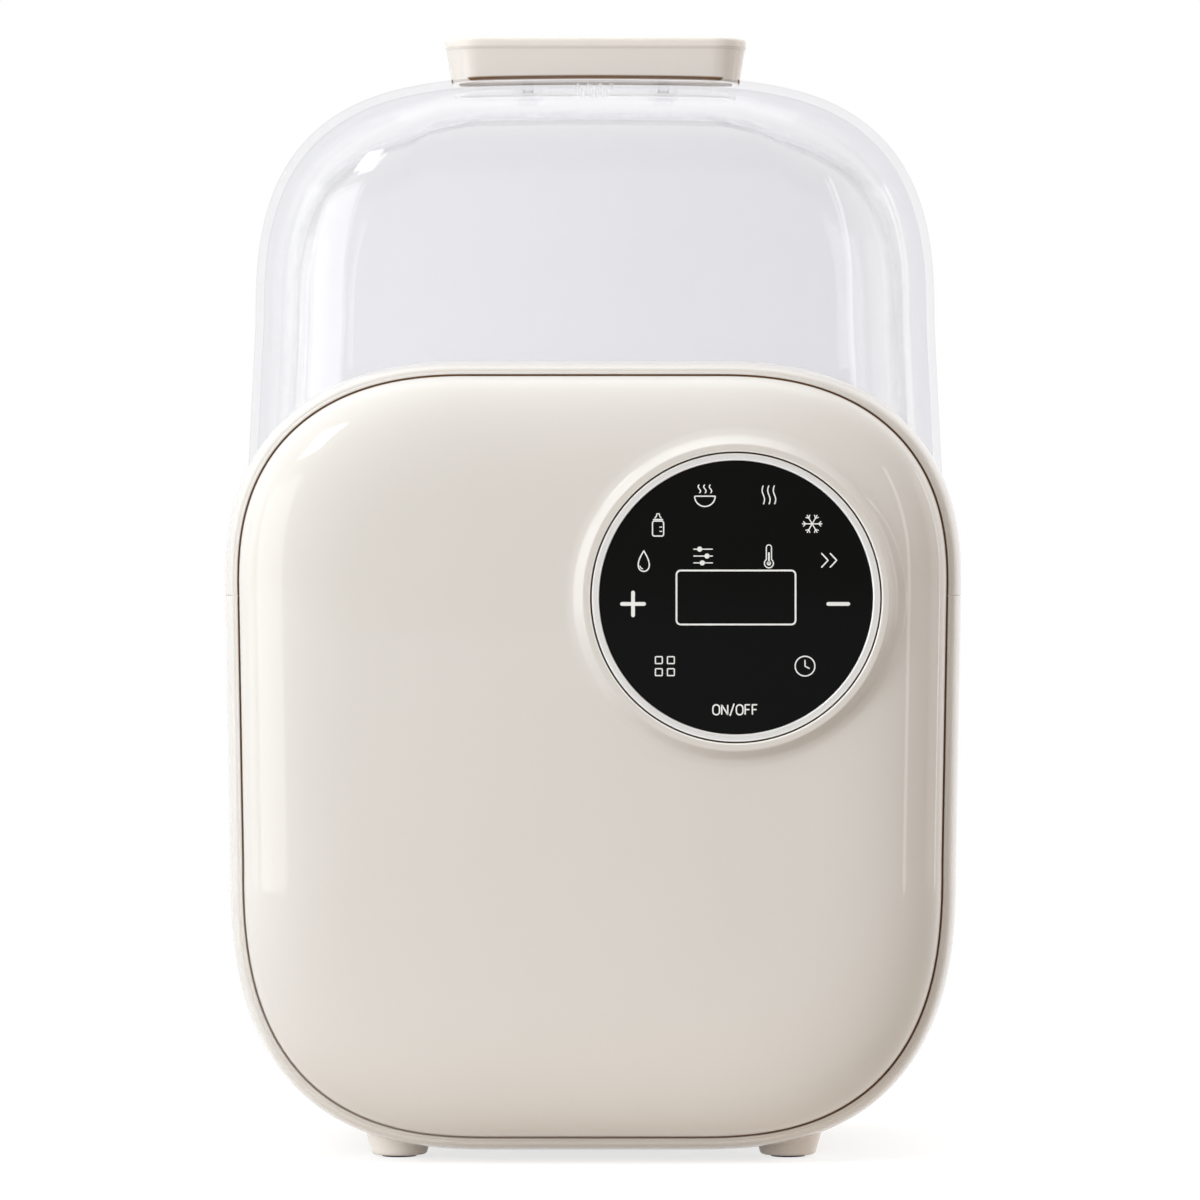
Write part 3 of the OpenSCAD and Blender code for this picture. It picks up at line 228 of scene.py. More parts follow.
def new_object(name, surfaces):
    """One object from several surfaces, millimetres turned into metres."""
    points = np.concatenate([p for p, _ in surfaces]) * MM
    starts = np.cumsum([0] + [len(p) for p, _ in surfaces])
    faces = np.concatenate([f + s for (_, f), s in zip(surfaces, starts)])
    mesh = bpy.data.meshes.new(name)
    mesh.vertices.add(len(points))
    mesh.vertices.foreach_set("co", points.astype(np.float32).ravel())
    mesh.loops.add(faces.size)
    mesh.loops.foreach_set("vertex_index", faces.astype(np.int32).ravel())
    mesh.polygons.add(len(faces))
    mesh.polygons.foreach_set("loop_start", np.arange(0, faces.size, 4, dtype=np.int32))
    mesh.update(calc_edges=True)
    close_up(mesh)
    made = bpy.data.objects.new(name, mesh)
    scene.collection.objects.link(made)
    return made


print("creases from", CREASE, "degrees")

# %% [markdown]
# A piece of the model rides on a body of the CAD, wears one finish and, as a rule, stands for a CAD node,
# which is then hidden. Holes and slots are taken out by a Boolean, which is applied at once so that the
# mesh is final.


# %% Pieces and cuts
def dress(made, body, slot, finish, *nodes):
    """Lets an object ride on a body, wear a finish and stand for CAD nodes."""
    made.data.materials.append(finish)
    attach(made, body)
    if nodes:
        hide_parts(*nodes)
    print(made.name, len(made.data.polygons), "faces")


def piece(name, body, slot, node, finish, surfaces):
    """A dressed piece from surfaces."""
    made = new_object(name, surfaces)
    dress(made, body, slot, finish, node)
    return made


def cut(made, surfaces, finish=None):
    """Takes closed surfaces out of a piece with a Boolean and keeps the result as its mesh.
    A finish, if given, goes on the walls of the cut."""
    tool = new_object("cutter", surfaces)
    modifier = made.modifiers.new("cut", "BOOLEAN")
    if finish is not None:
        tool.data.materials.append(finish)
        modifier.material_mode = "TRANSFER"
    modifier.operation = "DIFFERENCE"
    modifier.solver = "EXACT"
    modifier.object = tool
    graph = bpy.context.evaluated_depsgraph_get()
    solid = made.data
    made.data = bpy.data.meshes.new_from_object(made.evaluated_get(graph))
    made.modifiers.clear()
    bpy.data.meshes.remove(solid)
    bpy.data.objects.remove(tool)
    smooth(made.data)
    print(made.name, "cut:", len(made.data.polygons), "faces")


# %% [markdown]
# Turned pieces share one rule: a profile of radius and height goes round an axis. Upright pieces turn about
# Z, and the dial's ring and glass about the line that looks out of the front. A second rule rounds the
# corners of any profile, because no moulding has a knife edge.


# %% Turned surfaces
def turned(profile, centre, facing="up", count=128, closed=False):
    """Surface of revolution: radius and height of each profile point, carried round the axis."""
    profile = np.asarray(profile, float)
    turn = np.linspace(0, 2 * np.pi, count, endpoint=False)
    radius, height = profile[:, :1], profile[:, 1:]
    across, along = radius * np.cos(turn), radius * np.sin(turn)
    rise = height + 0 * turn
    axes = {"up": (across, along, rise), "front": (across, -rise, along), "back": (across, rise, along)}
    return lattice(np.stack(axes[facing], axis=-1) + np.asarray(centre, float), True, closed)


def rounded(profile, radii, steps=5):
    """A profile with its corners rounded: each corner becomes a short curve between its two edges."""
    profile = np.asarray(profile, float)
    t = np.linspace(0, 1, steps)[:, None]
    out = [profile[:1]]
    for before, corner, after, r in zip(profile[:-2], profile[1:-1], profile[2:], radii):
        start = corner + (before - corner) * min(0.5, r / max(1e-9, np.linalg.norm(before - corner)))
        end = corner + (after - corner) * min(0.5, r / max(1e-9, np.linalg.norm(after - corner)))
        out.append((1 - t) ** 2 * start + 2 * t * (1 - t) * corner + t ** 2 * end)
    out.append(profile[-1:])
    return np.concatenate(out)


print("turning ready")

# %% [markdown]
# Most of the outside is glossy moulded plastic in a warm cream. Real mouldings aren't one flat colour: the
# pigment is faintly cloudy, gloss changes where hands touch, and the surface has a fine orange peel. One
# function gives them all, and takes marks: rules that say where another colour is painted on, here painted
# shade and painted highlights.

# %% Moulded plastic
CLOUD_SCALE, SPECK_SCALE, PEEL_HEIGHT = 22.0, 2600.0, 0.0004


def new_finish(name, settings):
    """A material with one Principled shader, its constant sockets set, and Object coordinates as a wire."""
    material = bpy.data.materials.new(name)
    material.use_nodes = True
    tree = material.node_tree
    shader = tree.nodes["Principled BSDF"]
    for socket, value in settings.items():
        feed(tree, shader.inputs[socket], value)
    place = Wire(tree, tree.nodes.new("ShaderNodeTexCoord").outputs["Object"])
    return material, shader, place


def shade(colour, factor):
    """A colour made darker or paler by a factor."""
    return tuple(min(1.0, c * factor) for c in colour)


def moulded(name, colour, rough, grain=700, peel=0.05, cloud=0.025, settings=None, marks=()):
    """Moulded plastic: cloudy pigment, gloss that wanders a little and a fine peel in the surface. Marks are
    pairs of a rule, which gives a share at each place, and the colour painted there: painted shade or a
    painted highlight."""
    material, shader, place = new_finish(name, settings or {})
    tree = material.node_tree
    soft = place.noise(CLOUD_SCALE, 4.0)
    tone = soft * 0.7 + place.noise(SPECK_SCALE, 1.0) * 0.3
    tint = tone.blend(shade(colour, 1 - cloud), shade(colour, 1 + cloud))
    coat = shader.inputs["Coat Weight"].default_value
    for rule, other in marks:
        share = rule(place)
        tint = share.blend(tint, other)
        coat = coat * (1 - share)
    feed(tree, shader.inputs["Coat Weight"], coat)
    feed(tree, shader.inputs["Base Color"], tint)
    feed(tree, shader.inputs["Roughness"], rough + (soft - 0.5) * 0.10)
    feed(tree, shader.inputs["Normal"], place.noise(float(grain), 2.0).bump(peel, PEEL_HEIGHT))
    return material


print("moulded plastic ready")

# %% [markdown]
# Narrow gaps of a cream body get brown painted shade, in place of the shade that falls into them. A render
# of a gap a few tenths of a millimetre wide would show only noise there, so the share of painted shade is
# written on the points of the mesh, and the finish reads it. A rule in the finish alone would need the
# outline's maths in shader nodes.


# %% Cream finishes
def gap_shade_share(place):
    """Share of the gap's painted shade, read from the points of a mesh that carries it; nought on any other
    mesh.
    """
    return place.node("ShaderNodeAttribute", {"attribute_name": "gap"}, {}, "Fac")


def paint_gap_shade(made, rule):
    """Writes the share of the gap's painted shade on each point, by a rule of its place in millimetres."""
    places = np.empty(3 * len(made.data.vertices), np.float32)
    made.data.vertices.foreach_get("co", places)
    share = np.clip(rule(*(places.reshape(-1, 3).T / MM)), 0, 1)
    made.data.attributes.new("gap", "FLOAT", "POINT").data.foreach_set("value", share.astype(np.float32))


# The brown is painted shade for narrow gaps, where shade falls; the pale edge colour is a painted highlight
# on the dial lip's edge.
CREAM, GAP_SHADE_BROWN, EDGE_HIGHLIGHT_PALE = (0.70, 0.665, 0.636), (0.17, 0.085, 0.035), (0.93, 0.91, 0.885)
GLOSS = {"Coat Weight": 0.8, "Coat Roughness": 0.015, "Specular IOR Level": 0.2}


def glossy(name, colour, marks):
    """Polished moulding: a clear skin over the pigment, with hardly any peel."""
    return moulded(name, colour, 0.42, 420, 0.012, settings=GLOSS, marks=marks)


cream_gloss = glossy("cream_gloss", CREAM, [(gap_shade_share, GAP_SHADE_BROWN)])
cream_satin = moulded("cream_satin", shade(CREAM, 0.98), 0.34, peel=0.06)
# The feet's cream is the body's made paler, painted light for the shade under the body.
cream_foot_brightened = moulded("cream_foot_brightened", shade(CREAM, 1.2), 0.42, grain=1200, peel=0.12)
print("cream finishes ready")

# %% [markdown]
# Seen from the front the body is a rounded square: straight sides that draw in a little on their way down,
# and superellipse corners, which leave a straight line without the sudden bend of a circle. Every shell
# uses this outline at its own offset, so one function gives the corner and another finds the offset of any
# point.

# %% Outline of the body
HALF_W, TAPER = 104.8, 1.4
TOP = {"cx": 34.8, "cz": 163.5, "a": 70.0, "b": 63.5, "n": 2.4}
LOW = {"cx": 27.4, "cz": 84.9, "a": 76.0, "b": 82.5, "n": 2.66}
SPAN = TOP["cz"] - LOW["cz"]
SPLIT_Z = 160.0
HALVINGS, LEAST_RADIUS, MOST_OFFSET = 46, 1e-3, 20.0


def side_x(z, offset):
    """Half width at a height: full width less the taper's share below the upper corners."""
    return HALF_W + offset - TAPER * (TOP["cz"] - z) / SPAN


def halved(low, high, past):
    """Finds a value between two bounds by halving; past says where the middle already lies beyond it."""
    for _ in range(HALVINGS):
        middle = (low + high) / 2
        beyond = past(middle)
        low, high = np.where(beyond, low, middle), np.where(beyond, middle, high)
    return (low + high) / 2


def corner_offset(dx, dz, corner):
    """Offset o of the corner curve (dx/(a+o))^n + (dz/(b+o))^n = 1 through a point, by halving."""
    a, b, n = corner["a"], corner["b"], corner["n"]
    low, high = np.full(dx.shape, LEAST_RADIUS - min(a, b)), np.full(dx.shape, MOST_OFFSET)
    return halved(low, high, lambda o: (dx / (a + o)) ** n + (dz / (b + o)) ** n <= 1)


def outline_offset(x, z):
    """How far a point lies outside the body outline, negative inside."""
    x = np.abs(x)
    top = corner_offset(np.maximum(x - TOP["cx"], 0), np.maximum(z - TOP["cz"], 0), TOP)
    low = corner_offset(np.maximum(x - LOW["cx"], 0), np.maximum(LOW["cz"] - z, 0), LOW)
    side = x - side_x(z, 0)
    return np.where(z > TOP["cz"], top, np.where(z < LOW["cz"], low, side))


print("outline is", 2 * HALF_W, "wide")

# %% [markdown]
# The front cover is a pillow: it rolls from its edge into a flat, and a round boss rises from it for the
# dial. A square grid would cut the boss into steps. Rays from the dial's centre to the edge follow both,
# the boss as circles and the edge as the last row, and they are spread by the length of the edge.

# %% Front cover measures
Y_LIP, Y_FLAT, Y_SEAM = -82.5, -80.0, -65.5
DIAL_X, DIAL_Z = 40.2, 159.5
COVER_OFF, COVER_WALL, COVER_SKIRT = -5.0, 2.4, 7.0
PILLOW_W, PILLOW_CURVE, PILLOW_ROUND = 40.0, 3, 2.2
LEDGE_R, RECESS_R, LIP_R, BOSS_R = 33.1, 40.8, 43.3, 48.6
LEDGE_Y, LEDGE_BACK = -79.6, -77.2
RAYS, MOST_REACH = 512, 320.0


def pillow(inset, depth, width):
    """Depth of the pillow at an inset from its edge: d (1 - (1 - i/w)^curve)^(1/round)."""
    share = np.clip(inset / width, 0, 1)
    return depth * (1 - (1 - share) ** PILLOW_CURVE) ** (1 / PILLOW_ROUND)


def offset_at(angle, radius):
    """How far a point at a radius on a ray from the dial's centre lies outside the outline."""
    return outline_offset(DIAL_X + radius * np.cos(angle), DIAL_Z + radius * np.sin(angle))


def reach_along(angle, offset):
    """Distance along each ray from the dial's centre to the outline at an offset, by halving."""
    nought = np.zeros(angle.shape)
    return halved(nought, nought + MOST_REACH, lambda r: offset_at(angle, r) > offset)


even = np.linspace(0, 2 * np.pi, 4 * RAYS + 1)
edge = reach_along(even, COVER_OFF)
steps = np.hypot(np.diff(edge * np.cos(even)), np.diff(edge * np.sin(even)))
measure = np.concatenate([[0], np.cumsum(steps / steps.sum() + 1.0 / (4 * RAYS))])
ray = np.interp(np.linspace(0, measure[-1], RAYS, endpoint=False), measure, even)
edge_r = reach_along(ray, COVER_OFF)
inner_r = reach_along(ray, COVER_OFF - COVER_WALL)
print("rays reach", round(edge_r.min(), 1), "to", round(edge_r.max(), 1))

# %% [markdown]
# The cover is polished cream with two marks of painted light: brown painted shade behind the seam and down in
# the dial's recess, and a fine pale painted highlight along the edge of the lip. Both follow from the place
# alone, so no points need to carry them.


# %% Front cover finish
def ramp(value, low, high):
    """Rises from 0 to 1 as a wire goes from low to high, both in millimetres."""
    return value.between(low * MM, high * MM)


def from_axis(place, centre, axis):
    """Distance from a line through the centre; axis holds 0 along the line and 1 across it."""
    kind = "ShaderNodeVectorMath"
    moved_by = tuple(c * MM for c in centre)
    arm = place.node(kind, {"operation": "SUBTRACT"}, {0: place, 1: moved_by})
    flat_arm = place.node(kind, {"operation": "MULTIPLY"}, {0: arm, 1: axis})
    return place.node(kind, {"operation": "LENGTH"}, {0: flat_arm}, "Value")


DIAL_CENTRE, DIAL_ACROSS = (DIAL_X, 0, DIAL_Z), (1.0, 0.0, 1.0)


def cover_gap_shade(place):
    """Painted shade in brown behind the seam's depth and down in the dial's recess."""
    depth = place.axis("Y")
    radius = from_axis(place, DIAL_CENTRE, DIAL_ACROSS)
    sunk = ramp(radius, RECESS_R + 0.2, RECESS_R) * ramp(depth, Y_LIP + 0.2, Y_LIP + 0.8)
    return ramp(depth, Y_SEAM + 0.1, Y_SEAM + 0.6).greater(sunk)


def lip_edge_highlight(place):
    """Painted highlight: a fine pale line on the edge of the lip round the dial."""
    return ramp(from_axis(place, DIAL_CENTRE, DIAL_ACROSS), RECESS_R + 0.5, RECESS_R + 0.3)


# Painted light on the cover: a painted highlight on the lip's edge, painted shade in the seam and the recess.
cover_gloss = glossy("cover_gloss", CREAM, [(lip_edge_highlight, EDGE_HIGHLIGHT_PALE), (cover_gap_shade, GAP_SHADE_BROWN)])
print("cover finish", cover_gloss.name)

# %% [markdown]
# The shell goes in rows: out of the recess and over the lip, down the flank of the boss, over the pillow to
# the edge, back along the skirt, and home on the inside. The rows stand closer where the surface bends
# more.


# %% Front cover shell
def on_rays(radius, y):
    """Points at a radius along each ray, at a depth."""
    radius = radius + 0 * ray
    return np.stack([DIAL_X + radius * np.cos(ray), y + 0 * radius, DIAL_Z + radius * np.sin(ray)], axis=-1)


flank = rounded([(LIP_R - 0.9, 0), (LIP_R - 0.3, 0), (LIP_R + 1.9, 0.88), (BOSS_R - 1.4, 1), (BOSS_R, 1)],
                (0.35, 0.7, 1.2), 9)


def cover_front(radius):
    """Front of the cover: the pillow, raised to the lip; between them the flank falls along its profile."""
    plain = Y_SEAM - pillow(COVER_OFF - offset_at(ray, radius), Y_SEAM - Y_FLAT, PILLOW_W)
    return Y_LIP + (plain - Y_LIP) * np.interp(radius, *flank.T)


def cover_back(radius):
    """Inside of the cover: a smaller pillow, cut off level behind the dial's ledge."""
    inset = COVER_OFF - COVER_WALL - offset_at(ray, radius)
    plain = Y_SEAM - pillow(inset, Y_SEAM - Y_FLAT - COVER_WALL, PILLOW_W - COVER_WALL)
    return np.where(radius < BOSS_R, np.maximum(plain, LEDGE_BACK), plain)


recess = [(LEDGE_R, LEDGE_BACK), (LEDGE_R, LEDGE_Y + 0.2), (LEDGE_R + 0.2, LEDGE_Y),
          (RECESS_R - 0.15, LEDGE_Y), (RECESS_R, LEDGE_Y - 0.15), (RECESS_R, Y_LIP + 0.3),
          (RECESS_R + 0.09, Y_LIP + 0.09), (RECESS_R + 0.3, Y_LIP)]
cover_rows = [on_rays(r, y) for r, y in recess]
for r in np.concatenate([[RECESS_R + 0.9], np.linspace(LIP_R - 0.9, BOSS_R, 48)]):
    cover_rows.append(on_rays(r, cover_front(r + 0 * ray)))
for share in np.linspace(0, 1, 84)[1:-1]:
    r = edge_r - (edge_r - BOSS_R) * (1 - share) ** 2.3
    cover_rows.append(on_rays(r, cover_front(r)))
cover_rows += [on_rays(edge_r, Y_SEAM + d) for d in (0.0, 1.0, COVER_SKIRT)]
cover_rows += [on_rays(inner_r, Y_SEAM + d) for d in (COVER_SKIRT, 0.0)]
for share in np.linspace(0, 1, 22)[1:]:
    r = inner_r - (inner_r - LEDGE_R) * share ** 1.8
    cover_rows.append(on_rays(r, cover_back(r)))
piece("front_cover_shell", "base", "cream_gloss", "front_cover", cover_gloss,
      [lattice(np.stack(cover_rows), True, True)])

# %% [markdown]
# Behind the cover two shells meet at a parting line: an upper cover and the base. Both are trays, and a
# tray is a row of outlines, one behind the other. Outside and inside are two grids with as many stations,
# and a strip between their ends closes the wall at the parting.

# %% Trays
WALL, SPLIT_R = 2.6, 0.35
SIDE_STEPS, CORNER_STEPS, FLAT_STEPS, CAP_STEPS = 10, 61, 9, 10
split_depth = np.array([0.0, 0.03, 0.1, 0.2, 0.35])
split_ease = -SPLIT_R * (1 - np.sqrt(np.maximum(0, 1 - (1 - split_depth / SPLIT_R) ** 2)))


def tray_path(offset, start, corner, sign):
    """Outline of one tray per row: down (or up) a side from the parting, round the corner, to the middle."""
    offset, start = offset[:, None], start[:, None]
    near = start + sign * split_depth
    far = start + (corner["cz"] - start) * np.linspace(0, 1, SIDE_STEPS)[2:]
    z_side = np.concatenate([near, far], axis=1)
    ease = np.concatenate([split_ease, np.zeros(far.shape[1])])
    x_side = side_x(z_side, offset + ease)
    turn = np.linspace(0, np.pi / 2, CORNER_STEPS)[1:]
    x_turn = corner["cx"] + (corner["a"] + offset) * np.cos(turn).clip(0) ** (2 / corner["n"])
    z_turn = corner["cz"] + sign * (corner["b"] + offset) * np.sin(turn) ** (2 / corner["n"])
    x_flat = corner["cx"] * np.linspace(1, 0, FLAT_STEPS)[1:] + 0 * offset
    z_flat = corner["cz"] + sign * (corner["b"] + offset) + 0 * x_flat
    x = np.concatenate([x_side, x_turn, x_flat], axis=1)
    z = np.concatenate([z_side, z_turn, z_flat], axis=1)
    return np.concatenate([x, -x[:, -2::-1]], axis=1), np.concatenate([z, z[:, -2::-1]], axis=1)


def skin(stations, corner, sign):
    """Grid of a tray's skin: rows at (depth, offset, parting height), then rows that shrink to the middle."""
    y, offset, start = np.asarray(stations, float).T
    x, z = tray_path(offset, start, corner, sign)
    grid = np.stack([x, y[:, None] + 0 * x, z], axis=-1)
    middle = np.array([0, y[-1], start[-1]])
    shrink = np.linspace(1, 0, CAP_STEPS + 1)[1:, None, None]
    return np.concatenate([grid, middle + (grid[-1:] - middle) * shrink])


def tray(outer, inner, corner, sign):
    """Closed shell of a tray from its outer and inner stations."""
    out, within = skin(outer, corner, sign), skin(inner, corner, sign)
    ends = [lattice(np.stack([out[:, c], within[:, c]]), False) for c in (0, -1)]
    return [lattice(out, False), lattice(within, False)] + ends


print("wall of the trays", WALL)

# %% [markdown]
# The rim of both trays has a sill that closes the seam, a flat land round it, a hair's step, and then
# rounds back to full width. It is one profile of depth and offset. The seam's bottom gets brown painted
# shade, and a trace of painted shade sits in the step; low on the left, where the seam faces a lamp, less of
# the painted shade is laid on.

# %% Rim of the trays
RIM_LAND_OFF, RIM_W, RIM_D, RIM_STEP = -4.47, 3.2, 20.0, 0.35
SILL_Y, SILL_OFF = Y_SEAM + 0.6, COVER_OFF + 0.03
STEP_SHADE, LAMP_SHARE = 0.16, 0.35
land = rounded([(SILL_Y, SILL_OFF), (SILL_Y, RIM_LAND_OFF), (Y_SEAM, RIM_LAND_OFF), (Y_SEAM, -RIM_W - 0.75),
                (Y_SEAM + RIM_STEP, -RIM_W - 0.45), (Y_SEAM + RIM_STEP, -RIM_W)],
               (0.02, 0.2, 0.15, 0.08), 4)[:-1]
turn = np.linspace(0, np.pi / 2, 15)
rim_y = Y_SEAM + RIM_STEP + (RIM_D - RIM_STEP) * (1 - np.cos(turn))
rim = np.concatenate([land, np.stack([rim_y, -RIM_W * (1 - np.sin(turn))], axis=-1)])
bay = np.array([[SILL_Y, SILL_OFF], [Y_SEAM + 8, RIM_LAND_OFF], [Y_SEAM + 14, -WALL]])


def rim_gap_shade(x, y, z):
    """Painted shade in brown on the sill that closes the seam and a trace in the land's step; less where a
    lamp faces.
    """
    offset = outline_offset(x, z)
    sill = (offset < RIM_LAND_OFF + 0.02) & (y > Y_SEAM + 0.2) & (y < SILL_Y + 3)
    step = STEP_SHADE * np.exp(-((offset + RIM_W + 0.6) / 0.18) ** 2) * (y < Y_SEAM + 1)
    low_left = np.interp(z, (40, 110), (1, 0)) * np.interp(x, (-20, 70), (1, 0))
    return np.maximum(sill * (1 - LAMP_SHARE * low_left), step)


print("rim stations", len(rim))

# %% [markdown]
# The upper cover is the shallow tray above the parting line. Behind, it ends in a rounded edge, and two
# round pockets in its back take the screws that hold it.


# %% Upper back cover
def edge_stations(y, radius, offset, count):
    """Rounded back edge: a quarter circle from the side into the back face."""
    t = np.linspace(0, np.pi / 2, count)
    return np.stack([y - radius + radius * np.sin(t), offset - radius * (1 - np.cos(t))], axis=-1)


def with_start(stations, start):
    """Adds the parting height to each station."""
    return np.concatenate([stations, np.full((len(stations), 1), start)], axis=1)


def along_inside(points, count):
    """A number of stations spread evenly over a short polyline."""
    share = np.linspace(0, 1, len(points))
    spread = np.linspace(0, 1, count)
    return np.stack([np.interp(spread, share, points[:, k]) for k in (0, 1)], axis=-1)


Y_UPPER, UPPER_R = -37.5, 6.0
POCKET_R, POCKET_DEEP, POCKET_X, POCKET_Z = 3.2, 2.8, 50, 207
bay_stations = along_inside(bay, len(rim))
upper_outer = np.concatenate([rim, edge_stations(Y_UPPER, UPPER_R, 0, 9)])
upper_inner = np.concatenate([bay_stations, edge_stations(Y_UPPER - WALL, UPPER_R - WALL, -WALL, 9)])
upper = piece("upper_back_shell", "base", "cream_gloss", "upper_back_cover", cream_gloss,
              tray(with_start(upper_outer, SPLIT_Z), with_start(upper_inner, SPLIT_Z), TOP, 1))
pocket = rounded([(0, Y_UPPER - POCKET_DEEP), (POCKET_R, Y_UPPER - POCKET_DEEP), (POCKET_R, Y_UPPER + 2),
                  (0, Y_UPPER + 2)], (0.3, 0.3))
cut(upper, [turned(pocket, (x, 0, POCKET_Z), "back", 48) for x in (-POCKET_X, POCKET_X)])
paint_gap_shade(upper, rim_gap_shade)

# %% [markdown]
# The base is the deep tray below the parting line. Its top steps down behind the front to a flange for the
# tub, and a wall across the body closes the bay of the electronics. The wall is two slabs, one to each
# height.

# %% Base housing
Y_BACK, BACK_R, FLANGE_Z = 82.5, 25.0, 157.4
FLANGE_FRONT, PARTITION_BACK, SLAB_MID_Z = -36.2, -34.9, 90.0


def base_stations(front, offset, back, radius):
    """Stations of one skin of the base: the front at the parting's height, and the rest at the flange's."""
    high = np.concatenate([front, [[FLANGE_FRONT, offset]]])
    low = np.concatenate([[[FLANGE_FRONT, offset], [0, offset]], edge_stations(back, radius, offset, 19)])
    return np.concatenate([with_start(high, SPLIT_Z), with_start(low, FLANGE_Z)])


def slab(front, back, offset, top):
    """Upright wall across the body: the lower outline, closed over its top, between two depths."""
    y = np.array([front, front, back, back], float)
    x, z = tray_path(np.full(4, offset), np.full(4, top), LOW, -1)
    grid = np.stack([x, y[:, None] + 0 * x, z], axis=-1)
    middle = np.array([0, 0, SLAB_MID_Z])
    grid[[0, 3]] = middle + (grid[[0, 3]] - middle) * (0, 1, 0)
    return lattice(grid)


base_outer = base_stations(rim, 0, Y_BACK, BACK_R)
base_inner = base_stations(bay_stations, -WALL, Y_BACK - WALL, BACK_R - WALL)
partition = [slab(Y_UPPER, FLANGE_FRONT, -WALL / 2, SPLIT_Z),
             slab(FLANGE_FRONT, PARTITION_BACK, -WALL / 2, FLANGE_Z)]
base = piece("base_shell", "base", "cream_gloss", "base_housing", cream_gloss,
             tray(base_outer, base_inner, LOW, -1) + partition)

# %% [markdown]
# The base has an opening for the mains inlet in its back, one for the bottom cover, and four screw holes.
# Closed blocks and turned bores are taken out of it in one Boolean.


# %% Openings of the base
def block(low, high):
    """Box between two corners as a closed grid of four-sided rings."""
    (x0, y0, z0), (x1, y1, z1) = low, high
    ring = np.array([[x0, y0], [x1, y0], [x1, y1], [x0, y1]])
    middle = np.full((4, 2), ((x0 + x1) / 2, (y0 + y1) / 2))
    levels = [(middle, z0), (ring, z0), (ring, z1), (middle, z1)]
    return lattice(np.stack([np.column_stack([r, np.full(4, z)]) for r, z in levels]))


Y_MID = 22.0
HATCH_Y, HATCH_HX, HATCH_HY = (PARTITION_BACK + 57.5) / 2, 31.3, 42.3
BORE_R, BORE_X, BORE_Y = 3.2, 66, 34
openings = [block((17.7, 76.0, 32.7), (42.3, 90.0, 47.3)),
            block((-HATCH_HX, HATCH_Y - HATCH_HY, -5.0), (HATCH_HX, HATCH_Y + HATCH_HY, 4.8))]
bore = [(0, -5), (BORE_R, -5), (BORE_R, 20), (0, 20)]
openings += [turned(bore, (x, Y_MID + y, 0), "up", 40) for x in (-BORE_X, BORE_X) for y in (-BORE_Y, BORE_Y)]
cut(base, openings)
paint_gap_shade(base, rim_gap_shade)

# %% [markdown]
# The lid is one clear moulding: a tall box with upright rounded corners and superellipse shoulders. Rings
# of its plan are stacked from the middle of the top down the outside, round the foot and skirt, and up the
# inside again, so it is a true wall with two skins, and light bends in it as in the real one.

# %% Plan of the lid and the tub
LID_HX, LID_HY, LID_R = 103.3, 57.0, 38.0
ARC, RUN = 32, 14


def column(value):
    """One value per row, as a column."""
    return np.asarray(value, float).reshape(-1, 1)


def plan(hx, front, back, r_front, r_back):
    """Rounded rectangle seen from above, one per row: four corner arcs joined by straight runs."""
    hx, front, back, r_front, r_back = map(column, (hx, front, back, r_front, r_back))
    a = np.linspace(0, np.pi / 2, ARC + 1)
    c, s = np.cos(a), np.sin(a)
    arcs = [(hx - r_back + r_back * c, back - r_back + r_back * s),
            (-hx + r_back - r_back * s, back - r_back + r_back * c),
            (-hx + r_front - r_front * c, front + r_front - r_front * s),
            (hx - r_front + r_front * s, front + r_front - r_front * c)]
    share = np.linspace(0, 1, RUN + 2)[1:-1]
    x, y = [], []
    for (ax, ay), (bx, by) in zip(arcs, arcs[1:] + arcs[:1]):
        x += [ax, ax[:, -1:] + (bx[:, :1] - ax[:, -1:]) * share]
        y += [ay, ay[:, -1:] + (by[:, :1] - ay[:, -1:]) * share]
    return np.concatenate(x, axis=1), np.concatenate(y, axis=1)


def rings(hx, hy, r, z):
    """Rings of the lid's plan at heights."""
    x, y = plan(hx, Y_MID - np.asarray(hy), Y_MID + np.asarray(hy), r, r)
    return np.stack([x, y, column(z) + 0 * x], axis=-1)


def shrunk(ring, count):
    """Rings that shrink from one ring to its middle."""
    middle = np.array([0, Y_MID, ring[:, 2].max()])
    return middle + (ring[None] - middle) * np.linspace(1, 0, count + 1)[1:, None, None]


print("plan columns", 4 * (ARC + 1 + RUN))

# %% [markdown]
# Seen from the front the lid's shoulders are wide superellipses, and seen from the side tighter ones, so
# width and depth follow the height by different rules. The sides lean in by a draft, as a moulding must to
# leave its mould, and a low crown keeps the top from looking flat.

# %% Skins of the lid
FOOT_Z, TOP_Z, CAP_HX, CAP_HY, DRAFT, LID_WALL = 160.2, 311.3, 25.5, 21.0, 3.9, 2.4
SHOULDER_X, SHOULDER_Z, SHOULDER_N = LID_HX - DRAFT - CAP_HX, 71.8, 2.75
SHOULDER_Y, SHOULDER_YN = 35.0, 2.4
CROWN_H, CROWN_HX, CROWN_Z, CROWN_FADE = 0.7, 60.0, 285.0, 24.0
CORNER_SHARE, CORNER_EASE = 0.68, 0.8


def crown(x):
    """Low crown along the lid's width: h (1 - (x/w)^2)^2."""
    return CROWN_H * np.clip(1 - (x / CROWN_HX) ** 2, 0, 1) ** 2


def crowned(grid):
    """Raises the top of the lid by its crown, which fades out below the top."""
    x, y, z = np.moveaxis(grid, -1, 0)
    return np.stack([x, y, z + crown(x) * np.clip((z - CROWN_Z) / CROWN_FADE, 0, 1)], axis=-1)


